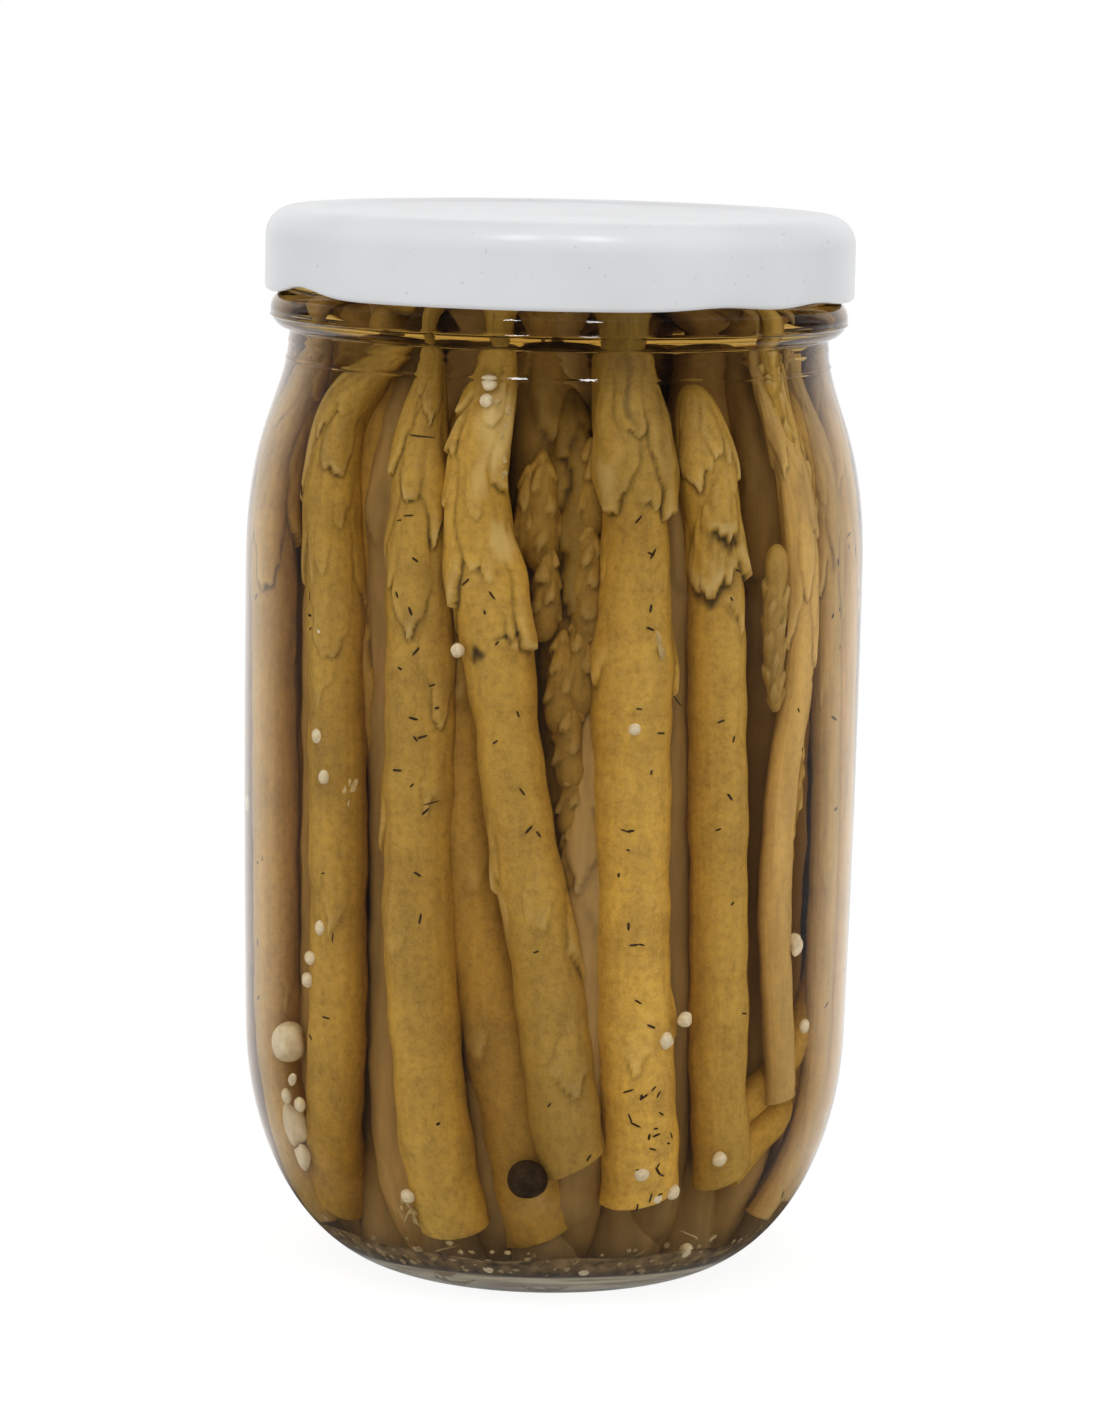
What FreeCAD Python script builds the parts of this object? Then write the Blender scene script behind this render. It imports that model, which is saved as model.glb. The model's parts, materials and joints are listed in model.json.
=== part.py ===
"""Wide-mouth jar of pickled asparagus: glass jar, twist-off lid and brine.

Millimetres, +Z up, origin at the centre of the ring the jar stands on.
-Y is the front. The jar is turned about Z, so every profile below is a list
of edges in the XZ plane, written from the axis outwards and upwards.
"""
import FreeCAD, Part
import math
import os

Vec = FreeCAD.Vector

# ---- glass jar -------------------------------------------------------------
jar_height = 162.9          # standing ring to the rim the lid seals on
body_radius = 47.5          # widest part, just under the shoulder
heel_radius = 46.65         # top of the rounded heel
heel_height = 37.0
foot_radius = 21.7          # outside of the flat ring the jar stands on
foot_width = 3.0
glass_wall = 2.6
floor_thickness = 4.2       # glass over the standing ring
push_up = 1.6               # rise of the underside inside the standing ring

shoulder_drop = 53.2        # rim down to where the shoulder starts
waist_drop = 18.1           # rim down to the end of the shoulder
shoulder_sweep = 21.6       # length of the shoulder curve's handles
waist_sweep = 10.3
neck_radius = 41.3

bead_drop = 14.9            # rim down to the middle of the bead
bead_round = 3.0            # radius of the bead's round section
bead_reach = 2.9            # bead stands out from the neck by this
finish_step = 0.6           # finish above the bead is this much wider than the neck
rim_round_outer = 1.1
rim_round_inner = 0.8

# ---- lid -------------------------------------------------------------------
lid_wall = 0.7
lid_gap = 2.45              # clearance between the jar's finish and the lid's skirt
lid_skirt = 12.1            # inner face of the lid down to its lower edge
lid_corner = 4.4            # outer rounding between top and skirt
curl_radius = 0.75          # rolled lower edge
panel_margin = 2.7          # pressed-down middle of the lid ends this far inside the bore
panel_drop = 0.45
panel_slope = 1.2           # width of the ring that leads down to the panel
lug_count = 4
lug_angle = -60.0           # first lug, degrees from the front towards +X
lug_width = 21.0
lug_lift = 0.6              # the lower edge rises by this at a lug

# ---- brine -----------------------------------------------------------------
headspace = 8.0             # rim down to the level of the brine

# Quarter of an ellipse as one cubic curve: share of each half axis.
QUARTER = 0.5523

# ---- heights and radii that follow -----------------------------------------
shoulder_z = jar_height - shoulder_drop
waist_z = jar_height - waist_drop
bead_z = jar_height - bead_drop
bead_radius = neck_radius + bead_reach
finish_radius = neck_radius + finish_step
bore_radius = neck_radius - glass_wall
panel_radius = bore_radius - panel_margin
brine_z = jar_height - headspace
lid_inner_radius = finish_radius + lid_gap
lid_radius = lid_inner_radius + lid_wall
lid_top = jar_height + lid_wall
lid_bottom = jar_height - lid_skirt


def point(radius, height):
    return Vec(radius, 0, height)


def line(start, end):
    return Part.LineSegment(start, end).toShape()


def curve(*poles):
    bezier = Part.BezierCurve()
    bezier.setPoles(list(poles))
    return bezier.toShape()


def corner(centre, radius, start_degrees, end_degrees):
    """Arc about centre in the XZ plane; 0 degrees points outwards, 90 up."""
    places = []
    for degrees in (start_degrees, (start_degrees + end_degrees) / 2, end_degrees):
        angle = math.radians(degrees)
        places.append(centre + Vec(radius * math.cos(angle), 0, radius * math.sin(angle)))
    return Part.Arc(*places).toShape()


def turned(edges):
    """Solid of revolution about Z from a closed profile."""
    face = Part.Face(Part.Wire(edges))
    solid = face.revolve(Vec(0, 0, 0), Vec(0, 0, 1), 360)
    return solid if solid.Volume > 0 else solid.reversed()


def heel_to_waist(foot, foot_z, inset):
    """Heel, body and shoulder, as one smooth run from the foot to the waist.

    inset moves the whole run towards the axis, for the inside of the wall.
    """
    heel = heel_radius - inset
    body = body_radius - inset
    neck = neck_radius - inset
    middle_z = (heel_height + shoulder_z) / 2
    lean = (body - heel) / (middle_z - heel_height)
    rise = heel_height - foot_z
    heel_curve = curve(
        point(foot, foot_z),
        point(foot + QUARTER * (heel - foot), foot_z),
        point(heel - QUARTER * rise * lean, heel_height - QUARTER * rise),
        point(heel, heel_height))
    body_curve = curve(
        point(heel, heel_height),
        point(body, middle_z),
        point(body, shoulder_z))
    shoulder_curve = curve(
        point(body, shoulder_z),
        point(body, shoulder_z + shoulder_sweep),
        point(neck, waist_z - waist_sweep),
        point(neck, waist_z))
    return [heel_curve, body_curve, shoulder_curve]


def outer_profile():
    """Underside, heel, body, shoulder, neck, bead, finish and rim."""
    bead_middle = bead_radius - bead_round
    under = math.degrees(math.acos((neck_radius - bead_middle) / bead_round))
    over = math.degrees(math.acos((finish_radius - bead_middle) / bead_round))
    under_z = bead_z - bead_round * math.sin(math.radians(under))
    over_z = bead_z + bead_round * math.sin(math.radians(over))
    rim_z = jar_height - rim_round_outer
    foot_inside = foot_radius - foot_width
    underside = curve(
        point(0, push_up),
        point(foot_inside / 2, push_up),
        point(foot_inside / 2, 0),
        point(foot_inside, 0))
    edges = [underside, line(point(foot_inside, 0), point(foot_radius, 0))]
    edges += heel_to_waist(foot_radius, 0, 0)
    edges.append(line(point(neck_radius, waist_z), point(neck_radius, under_z)))
    edges.append(corner(point(bead_middle, bead_z), bead_round, -under, over))
    edges.append(line(point(finish_radius, over_z), point(finish_radius, rim_z)))
    edges.append(corner(point(finish_radius - rim_round_outer, rim_z), rim_round_outer, 0, 90))
    return edges


def inner_profile(top_z):
    """Inside of the glass from the middle of the floor up the bore to top_z."""
    edges = [line(point(0, floor_thickness), point(foot_radius, floor_thickness))]
    edges += heel_to_waist(foot_radius, floor_thickness, glass_wall)
    edges.append(line(point(bore_radius, waist_z), point(bore_radius, top_z)))
    return edges


def glass_jar():
    inside_z = jar_height - rim_round_inner
    rim = corner(point(bore_radius + rim_round_inner, inside_z), rim_round_inner, 180, 90)
    land = line(
        point(bore_radius + rim_round_inner, jar_height),
        point(finish_radius - rim_round_outer, jar_height))
    axis = line(point(0, floor_thickness), point(0, push_up))
    return turned(outer_profile() + [land, rim, axis] + inner_profile(inside_z))


def brine():
    level = line(point(bore_radius, brine_z), point(0, brine_z))
    axis = line(point(0, brine_z), point(0, floor_thickness))
    return turned(inner_profile(brine_z) + [level, axis])


def lid_profile():
    """Panel, ring, rounded corner, skirt and rolled edge of the pressed lid."""
    ring = lid_radius - lid_corner
    corner_z = lid_top - lid_corner
    inner_corner = lid_corner - lid_wall
    curl_z = lid_bottom + curl_radius
    curl_middle = lid_radius - curl_radius
    panel_edge = panel_radius + panel_slope
    skirt_end = curl_z + curl_radius
    return [
        line(point(0, lid_top - panel_drop), point(panel_radius, lid_top - panel_drop)),
        line(point(panel_radius, lid_top - panel_drop), point(panel_edge, lid_top)),
        line(point(panel_edge, lid_top), point(ring, lid_top)),
        corner(point(ring, corner_z), lid_corner, 90, 0),
        line(point(lid_radius, corner_z), point(lid_radius, curl_z)),
        corner(point(curl_middle, curl_z), curl_radius, 0, -180),
        line(point(curl_middle - curl_radius, curl_z), point(curl_middle - curl_radius, skirt_end)),
        line(point(curl_middle - curl_radius, skirt_end), point(lid_inner_radius, skirt_end)),
        line(point(lid_inner_radius, skirt_end), point(lid_inner_radius, corner_z)),
        corner(point(ring, corner_z), inner_corner, 0, 90),
        line(point(ring, jar_height), point(panel_edge, jar_height)),
        line(point(panel_edge, jar_height), point(panel_radius, jar_height - panel_drop)),
        line(point(panel_radius, jar_height - panel_drop), point(0, jar_height - panel_drop)),
        line(point(0, jar_height - panel_drop), point(0, lid_top - panel_drop)),
    ]


def lug_hollow(degrees):
    """Shallow arch cut up into the lid's lower edge where a lug is pressed."""
    radius = (lug_width ** 2 / 4 + lug_lift ** 2) / (2 * lug_lift)
    angle = math.radians(degrees)
    outwards = Vec(math.sin(angle), -math.cos(angle), 0)
    start = outwards * (lid_radius / 2) + Vec(0, 0, lid_bottom + lug_lift - radius)
    return Part.makeCylinder(radius, lid_radius, start, outwards)


def lid():
    shape = turned(lid_profile())
    for index in range(lug_count):
        shape = shape.cut(lug_hollow(lug_angle + index * 360 / lug_count))
    return shape.Solids[0]


def main():
    os.makedirs("parts", exist_ok=True)
    for name, build in (("glass_jar", glass_jar), ("lid", lid), ("brine", brine)):
        shape = build()
        shape.exportStep("parts/" + name + ".step")
        box = shape.BoundBox
        print(name, "valid", shape.isValid(), "solids", len(shape.Solids),
              "volume %.0f" % shape.Volume, "z %.2f to %.2f" % (box.ZMin, box.ZMax),
              "x %.2f to %.2f" % (box.XMin, box.XMax))


main()
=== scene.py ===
"""Looks of a wide-mouth jar of pickled asparagus: glass, lid, brine and what is sunk in it.

Lengths are worked out in millimetres and turned into metres when a mesh is made.
+Z is up and -Y is the front. Azimuths are degrees from the front towards +X.
"""

import json
import math

import bpy
import numpy as np
from mathutils import Matrix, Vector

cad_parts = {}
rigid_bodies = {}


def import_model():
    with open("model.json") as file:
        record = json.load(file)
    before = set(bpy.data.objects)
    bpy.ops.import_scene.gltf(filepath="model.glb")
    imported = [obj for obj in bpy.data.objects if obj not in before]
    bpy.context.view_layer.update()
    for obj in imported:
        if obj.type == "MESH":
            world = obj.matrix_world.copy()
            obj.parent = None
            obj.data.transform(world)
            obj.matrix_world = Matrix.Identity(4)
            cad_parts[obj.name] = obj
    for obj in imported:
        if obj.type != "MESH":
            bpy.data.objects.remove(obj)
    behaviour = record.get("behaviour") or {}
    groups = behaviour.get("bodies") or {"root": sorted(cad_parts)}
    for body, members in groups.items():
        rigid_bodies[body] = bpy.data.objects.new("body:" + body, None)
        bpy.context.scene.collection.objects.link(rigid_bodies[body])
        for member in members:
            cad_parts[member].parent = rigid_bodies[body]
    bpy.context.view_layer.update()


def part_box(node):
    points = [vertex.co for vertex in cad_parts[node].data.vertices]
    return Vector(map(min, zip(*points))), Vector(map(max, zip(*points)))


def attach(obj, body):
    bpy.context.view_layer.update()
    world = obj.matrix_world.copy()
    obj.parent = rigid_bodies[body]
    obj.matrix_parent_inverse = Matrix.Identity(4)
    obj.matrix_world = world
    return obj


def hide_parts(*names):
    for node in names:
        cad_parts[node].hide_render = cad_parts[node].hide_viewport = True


bl_info = {
    "name": "Pickled asparagus jar",
    "version": (1, 0, 0),
    "blender": (4, 5, 0),
    "location": "View3D > Sidebar > Pickle jar",
    "description": "Builds a glass jar of pickled asparagus around its packed solids",
    "category": "Object",
}

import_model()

MM = 0.001
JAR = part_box("glass_jar")
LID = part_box("lid")
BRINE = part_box("brine")

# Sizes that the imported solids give.
JAR_HEIGHT = JAR[1].z / MM
BODY_RADIUS = JAR[1].x / MM
WALL = (JAR[1].x - BRINE[1].x) / MM
FLOOR_Z = BRINE[0].z / MM
BRINE_Z = BRINE[1].z / MM
LID_RADIUS = LID[1].x / MM
LID_TOP = LID[1].z / MM
LID_BOTTOM = LID[0].z / MM

# Sizes of the same jar that a box doesn't give.
HEEL_RADIUS, HEEL_Z = 46.65, 37.0
FOOT_RADIUS, FOOT_WIDTH, PUSH_UP = 21.7, 3.0, 1.6
NECK_RADIUS = 41.3
SHOULDER_Z, WAIST_Z = JAR_HEIGHT - 53.2, JAR_HEIGHT - 18.1
SHOULDER_SWEEP, WAIST_SWEEP = 21.6, 10.3
BEAD_Z, BEAD_ROUND, BEAD_RADIUS = JAR_HEIGHT - 14.9, 3.0, 44.2
FINISH_RADIUS = 41.9
RIM_ROUND_OUTER, RIM_ROUND_INNER = 1.1, 0.8
LID_WALL, LID_CORNER, LID_CURL = 0.7, 4.4, 0.75
PANEL_RADIUS, PANEL_SLOPE, PANEL_DROP = 36.0, 1.2, 0.45
BORE_RADIUS = NECK_RADIUS - WALL

QUARTER = 0.5523        # handle of the cubic that stands for a quarter of an ellipse
GOLDEN = 137.5          # degrees between one leaf and the next
INTO_GLASS = 0.15       # the brine reaches into the glass by this, so that no gap shows
CLEAR = 0.15            # spears stay this far inside the glass
TOUCHING = 0.05         # and small pieces this far


# ---- curves and surfaces ----------------------------------------------------

def bezier(poles, count=90):
    """Bezier curve: neighbouring poles are blended by t again and again until one point is left."""
    t = np.linspace(0, 1, count)[:, None, None]
    level = np.repeat(np.array(poles, float)[None], count, axis=0)
    while level.shape[1] > 1:
        level = level[:, :-1] * (1 - t) + level[:, 1:] * t
    return level[:, 0]


def arc(centre, radius, start, end, count=40):
    """Part of a circle: centre plus radius times (cos, sin) of evenly spaced degrees."""
    angle = np.radians(np.linspace(start, end, count))
    return np.array(centre) + radius * np.stack([np.cos(angle), np.sin(angle)], axis=1)


def joined(*runs):
    """Runs of points end to end, without the points that two runs share."""
    points = np.concatenate([np.array(run, float) for run in runs])
    apart = np.linalg.norm(np.diff(points, axis=0), axis=1) > 1e-6
    return points[np.concatenate([[True], apart])]


def lengths(points):
    """Distance run along a line of points, from 0 at its first."""
    steps = np.linalg.norm(np.diff(points, axis=0), axis=1)
    return np.concatenate([[0.0], np.cumsum(steps)])


def sampled(at, run, points):
    """Points of a line at the given distances along it, where run holds those of its own points."""
    return np.stack([np.interp(at, run, values) for values in points.T], axis=1)


def softened(points, reach, step=0.1):
    """Rounds the corners: each point becomes the mean of the line within reach either side."""
    run = lengths(points)
    line = sampled(np.linspace(0, run[-1], int(run[-1] / step) + 1), run, points)
    half = max(1, int(reach / step))
    padded = np.pad(line, ((half, half), (0, 0)), mode="reflect", reflect_type="odd")
    sums = np.cumsum(np.concatenate([np.zeros((1, padded.shape[1])), padded]), axis=0)
    return (sums[2 * half + 1:] - sums[:-2 * half - 1]) / (2 * half + 1)


def spaced(points, length_step, turn_step):
    """Thins a line so that each step holds the same share of length plus turning."""
    run = lengths(points)
    step = np.diff(points, axis=0)
    heading = np.unwrap(np.arctan2(step[:, 1], step[:, 0]))
    turning = np.concatenate([[0.0], np.cumsum(np.abs(np.diff(heading))), [0.0]])
    turning[-1] = turning[-2]
    measure = run / length_step + turning / turn_step
    even = np.linspace(0, measure[-1], int(measure[-1]) + 2)
    return sampled(even, measure, points)


def closed_run(points, length_step, turn_step):
    """The same for a line that begins and ends on the axis."""
    run = spaced(points, length_step, turn_step)
    run[0, 0] = run[-1, 0] = 0.0
    return run


def make_piece(name, points, faces, material, slot, smooth=True, attributes=None):
    """Object at the origin from points in millimetres and lists of faces."""
    mesh = bpy.data.meshes.new(name)
    lists = [face for group in faces for face in np.asarray(group).tolist()]
    mesh.from_pydata((np.asarray(points) * MM).tolist(), [], lists)
    for key, values in (attributes or {}).items():
        layer = mesh.attributes.new(key, "FLOAT", "POINT")
        layer.data.foreach_set("value", np.asarray(values, np.float32).ravel())
    if smooth:
        mesh.shade_smooth()
    mesh.materials.append(material)
    mesh.update()
    piece = bpy.data.objects.new(name, mesh)
    bpy.context.scene.collection.objects.link(piece)
    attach(piece, "root")
    return piece


def grid_faces(rows, around, first=0):
    """Quads of a closed tube of rows by around points, numbered from first."""
    i = np.arange(rows - 1)[:, None] * around + first
    j = np.arange(around)[None, :]
    k = (j + 1) % around
    return np.stack([i + j, i + k, i + around + k, i + around + j], axis=-1).reshape(-1, 4)


def fan_faces(pole, ring, around, last):
    """Triangles that close a tube at a pole, at its first ring or at its last."""
    j = np.arange(around)
    k = (j + 1) % around
    hub = np.full(around, pole)
    order = [ring + j, ring + k, hub] if last else [hub, ring + k, ring + j]
    return np.stack(order, axis=-1)


def tube_faces(rows, around):
    """Faces of a tube whose points are a pole, rows by around points, and the other pole."""
    last_ring = 1 + (rows - 1) * around
    return [fan_faces(0, 1, around, False), grid_faces(rows, around, 1),
            fan_faces(last_ring + around, last_ring, around, True)]


def turned(profile, around):
    """Surface of revolution: each (radius, height) of the profile swept round Z.

    The profile runs from the axis, outwards first and anticlockwise, back to the axis.
    """
    rings = profile[1:-1]
    angle = np.linspace(0, 2 * np.pi, around, endpoint=False)
    x = rings[:, :1] * np.cos(angle)
    y = rings[:, :1] * np.sin(angle)
    z = np.repeat(rings[:, 1:], around, axis=1)
    tube = np.stack([x, y, z], axis=-1).reshape(-1, 3)
    points = np.concatenate([[[0, 0, profile[0, 1]]], tube, [[0, 0, profile[-1, 1]]]])
    return points, tube_faces(len(rings), around)


# ---- the jar's own curves ---------------------------------------------------

def heel_to_waist(foot_z, inset):
    """Heel, body and shoulder from the foot to the waist, moved inwards by inset."""
    heel = HEEL_RADIUS - inset
    body = BODY_RADIUS - inset
    neck = NECK_RADIUS - inset
    middle_z = (HEEL_Z + SHOULDER_Z) / 2
    lean = (body - heel) / (middle_z - HEEL_Z)
    rise = HEEL_Z - foot_z
    heel_curve = bezier([
        (FOOT_RADIUS, foot_z),
        (FOOT_RADIUS + QUARTER * (heel - FOOT_RADIUS), foot_z),
        (heel - QUARTER * rise * lean, HEEL_Z - QUARTER * rise),
        (heel, HEEL_Z)])
    body_curve = bezier([(heel, HEEL_Z), (body, middle_z), (body, SHOULDER_Z)])
    shoulder_curve = bezier([
        (body, SHOULDER_Z),
        (body, SHOULDER_Z + SHOULDER_SWEEP),
        (neck, WAIST_Z - WAIST_SWEEP),
        (neck, WAIST_Z)])
    return joined(heel_curve, body_curve, shoulder_curve)


INSIDE = heel_to_waist(FLOOR_Z, WALL)


def bore_at(height):
    """Inner radius of the jar at a height."""
    return np.interp(height, INSIDE[:, 1], INSIDE[:, 0])


def outside_run(seam_height, seam_rise, seam_width):
    """Underside, heel, body, shoulder, bead, finish and rim of the glass.

    The mould leaves a seam and three faint ridges by the bead: bell-shaped swellings
    exp(-(distance/width)^2), whose rise and width are shares of the seam's.
    """
    middle = BEAD_RADIUS - BEAD_ROUND
    under = math.degrees(math.acos((NECK_RADIUS - middle) / BEAD_ROUND))
    over = math.degrees(math.acos((FINISH_RADIUS - middle) / BEAD_ROUND))
    inner_foot = FOOT_RADIUS - FOOT_WIDTH
    underside = bezier([(0, PUSH_UP), (inner_foot / 2, PUSH_UP), (inner_foot / 2, 0), (inner_foot, 0)])
    run = joined(
        underside,
        heel_to_waist(0.0, 0.0),
        arc((middle, BEAD_Z), BEAD_ROUND, -under, over),
        [(FINISH_RADIUS, JAR_HEIGHT - RIM_ROUND_OUTER)],
        arc((FINISH_RADIUS - RIM_ROUND_OUTER, JAR_HEIGHT - RIM_ROUND_OUTER), RIM_ROUND_OUTER, 0, 90))
    run = softened(run, 0.5)
    run[:, 1] = np.maximum(run[:, 1], 0.0)
    outer = run[:, 0] > FOOT_RADIUS + 8
    for height, rise, width in (
            (seam_height, 1.0, 1.0), (BEAD_Z - 0.9, 1.4, 0.73), (BEAD_Z - 2.7, 0.8, 1.2),
            (BEAD_Z - 4.7, 0.6, 1.6)):
        swell = rise * seam_rise * np.exp(-((run[:, 1] - height) / (width * seam_width)) ** 2)
        run[outer, 0] += swell[outer]
    return run


def smooth_route(stops, count=160):
    """Catmull-Rom line through the stops: each span is the cubic that its four neighbours give."""
    stops = np.array(stops, float)
    ends = np.concatenate([[2 * stops[0] - stops[1]], stops, [2 * stops[-1] - stops[-2]]])
    at = np.linspace(0, len(stops) - 1 - 1e-9, count)
    span = at.astype(int)
    t = (at - span)[:, None]
    a, b, c, d = (ends[span + k] for k in range(4))
    return 0.5 * (2 * b + (c - a) * t + (2 * a - 5 * b + 4 * c - d) * t ** 2
                  + (3 * b - a - 3 * c + d) * t ** 3)


def standing_at(radius, azimuth, height):
    """Points at a distance from the jar's axis, an azimuth in degrees and a height."""
    angle = np.radians(azimuth)
    return np.stack(np.broadcast_arrays(radius * np.sin(angle), -radius * np.cos(angle), height), axis=-1)


def wall_route(stops, girth, depth):
    """Line of a spear that follows the glass: stops are (height, azimuth) or (height, azimuth, depth).

    Its distance from the axis is the bore at that height less the girth and the depth.
    """
    full = [stop if len(stop) == 3 else (*stop, depth) for stop in stops]
    route = smooth_route(full)
    height, azimuth, inward = route.T
    return standing_at(bore_at(height) - girth - inward, azimuth, height)


def kept_inside(points, clear=CLEAR):
    """Moves points that would cross the glass back to the inner wall less clear."""
    reach = np.hypot(points[..., 0], points[..., 1])
    limit = bore_at(points[..., 2]) - clear
    points[..., :2] *= np.minimum(1.0, limit / np.maximum(reach, 1e-6))[..., None]
    points[..., 2] = np.clip(points[..., 2], FLOOR_Z + CLEAR, BRINE_Z - 0.4)
    return points


# ---- asparagus --------------------------------------------------------------

HEAD_LEAVES = 17        # scale leaves on a head
BUD_STEP = 0.95         # from one bud of a side shoot to the next
STEM_LEAF_STEP = 27.0   # from one leaf of the stem to the next
OVAL = 0.05             # share by which a stem is wider one way than the other


def waves(values, rng, lengths_mm, strength):
    """Slow unevenness: a sum of sines of the given lengths with random starts."""
    starts = rng.uniform(0, 2 * np.pi, len(lengths_mm))
    parts = [np.sin(2 * np.pi * values / size + start) for size, start in zip(lengths_mm, starts)]
    return strength * np.sum(parts, axis=0) / len(lengths_mm)


def scale_leaf(down, turn, body, leaf):
    """Relief of one scale leaf.

    leaf is (distance of its base from the tip, angle, length, half width, height, keenness).
    u runs from its base, 0, to its free end, 1. The outline opens as u^keenness, from a round
    base at 0.4 to a pointed one at 1, and narrows again towards its end. The leaf is fullest
    near its base, fades upwards, and its sides grow softer with u.
    """
    base, angle, length, half, height, keen = leaf
    u = (base - down) / length
    across = (turn - angle - 0.25 * u + np.pi) % (2 * np.pi) - np.pi
    inside = np.clip(u, 0, 1)
    opening = np.clip(inside / 0.3, 0, 1) ** keen
    narrowing = np.clip(1 - np.clip((inside - 0.3) / 0.7, 0, 1) ** 1.5, 0, 1)
    width = half * opening * (0.25 + 0.75 * narrowing) + 1e-4
    x = across * body / width
    dome = np.clip(1 - x * x, 0, 1) ** (0.38 + 0.8 * inside)
    fade = np.clip(0.35 + inside / 0.03, 0, 1) * (1 + 0.5 * inside) * (1 - inside) ** 1.1
    return np.where((u > 0) & (u < 1), height * dome * fade, 0.0)


def head_leaves(head, girth, rng, bold):
    """Scale leaves of the head: a spiral of turns by the golden angle, larger further from the tip."""
    leaves = []
    for k in range(HEAD_LEAVES):
        share = (k + 1) / HEAD_LEAVES
        base = 2.0 + head * 1.08 * share ** 1.2 + rng.uniform(-1.2, 1.2) * share
        length = (6.0 + 0.45 * base) * rng.uniform(0.85, 1.3)
        half = girth * (0.28 + 0.5 * share) * rng.uniform(0.8, 1.25)
        height = bold * (0.35 + 0.9 * share) * rng.uniform(0.75, 1.25)
        angle = math.radians(k * GOLDEN) + rng.uniform(-0.35, 0.35)
        leaves.append((base, angle, length, half, height, rng.uniform(0.4, 1.0)))
    return leaves


def blurred(grid, rows, turns):
    """Mean of a grid over a few rows and turns to each side."""
    out = np.zeros_like(grid)
    for shift in range(-rows, rows + 1):
        out += grid[np.clip(np.arange(len(grid)) + shift, 0, len(grid) - 1)]
    grid = out / (2 * rows + 1)
    out = np.zeros_like(grid)
    for shift in range(-turns, turns + 1):
        out += np.roll(grid, shift, axis=1)
    return out / (2 * turns + 1)


def bud_leaves(total, rng):
    """Tight little buds all along a side shoot, each turned by the golden angle from the last."""
    return [(1.5 + BUD_STEP * k, math.radians(k * GOLDEN) + rng.uniform(-0.2, 0.2), rng.uniform(2.8, 4.2),
             rng.uniform(0.8, 1.15), rng.uniform(0.4, 0.7), rng.uniform(0.4, 0.7))
            for k in range(int(total * 0.8 / BUD_STEP))]


def stem_leaves(head, total, girth, rng):
    """Single scale leaves down the stem, each turned by the golden angle from the last or so."""
    leaves = []
    for k, base in enumerate(np.arange(head + 18, total - 12, STEM_LEAF_STEP)):
        angle = k * math.radians(GOLDEN) + rng.uniform(0, 6)
        leaves.append((base + rng.uniform(-5, 5), angle, rng.uniform(10, 15),
                       girth * rng.uniform(0.4, 0.55), rng.uniform(0.25, 0.45), 1.1))
    return leaves


def torn_edges(turn, down, rng):
    """How far the leaves' edges are torn along the stem: sines of the turn and the distance."""
    ragged = 0.0
    for reach, turns, size in ((0.55, 5, 2.3), (0.4, 9, -1.1), (0.3, 17, 1.7)):
        ragged = ragged + reach * np.sin(turns * turn + down / size + rng.uniform(0, 6))
    return ragged


def softened_steps(down, pairs):
    """Factor that runs smoothly through (distance, factor) pairs, as cosine steps between them."""
    at, factor = np.array(pairs, float).T
    place = np.interp(down, at, np.arange(len(at)))
    step = np.minimum(place.astype(int), len(at) - 2)
    t = 0.5 - 0.5 * np.cos(np.pi * (place - step))
    return factor[step] * (1 - t) + factor[step + 1] * t


def spear_rows(total, head, end_depth, steps):
    """Distances of a spear's rings from its cut end, and the share of the girth that each has.

    The first five round off the cut end like a quarter circle, and those of the head stand
    closer together than those of the stem.
    """
    dome = np.array([0.3, 0.6, 0.8, 0.92, 0.98])
    near_tip = np.array([0.05, 0.14, 0.27])
    fine = np.arange(steps[0], min(head * 1.25, total - end_depth), steps[0])
    coarse = np.arange(fine[-1] + steps[1], total - end_depth, steps[1])
    from_tip = np.concatenate([near_tip, fine, coarse])[::-1]
    at = np.concatenate([end_depth * (1 - np.sqrt(1 - dome ** 2)), [end_depth], total - from_tip])
    return at, np.concatenate([dome, np.ones(1 + len(from_tip))])


def unit(vectors):
    """Vectors brought to a length of 1."""
    return vectors / np.maximum(np.linalg.norm(vectors, axis=1, keepdims=True), 1e-6)


def rings_along(route, run, at):
    """Centres of the rings of a tube, and the directions along it, outwards and sideways.

    Outwards is away from the jar's axis, made square to the direction along the tube.
    """
    centre = sampled(at, run, route)
    along = unit(sampled(at, run, np.gradient(route, run, axis=0)))
    out = unit(centre * np.array([1.0, 1.0, 0.0]))
    out = unit(out - along * np.sum(out * along, axis=1, keepdims=True))
    return centre, along, out, np.cross(along, out)


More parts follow.
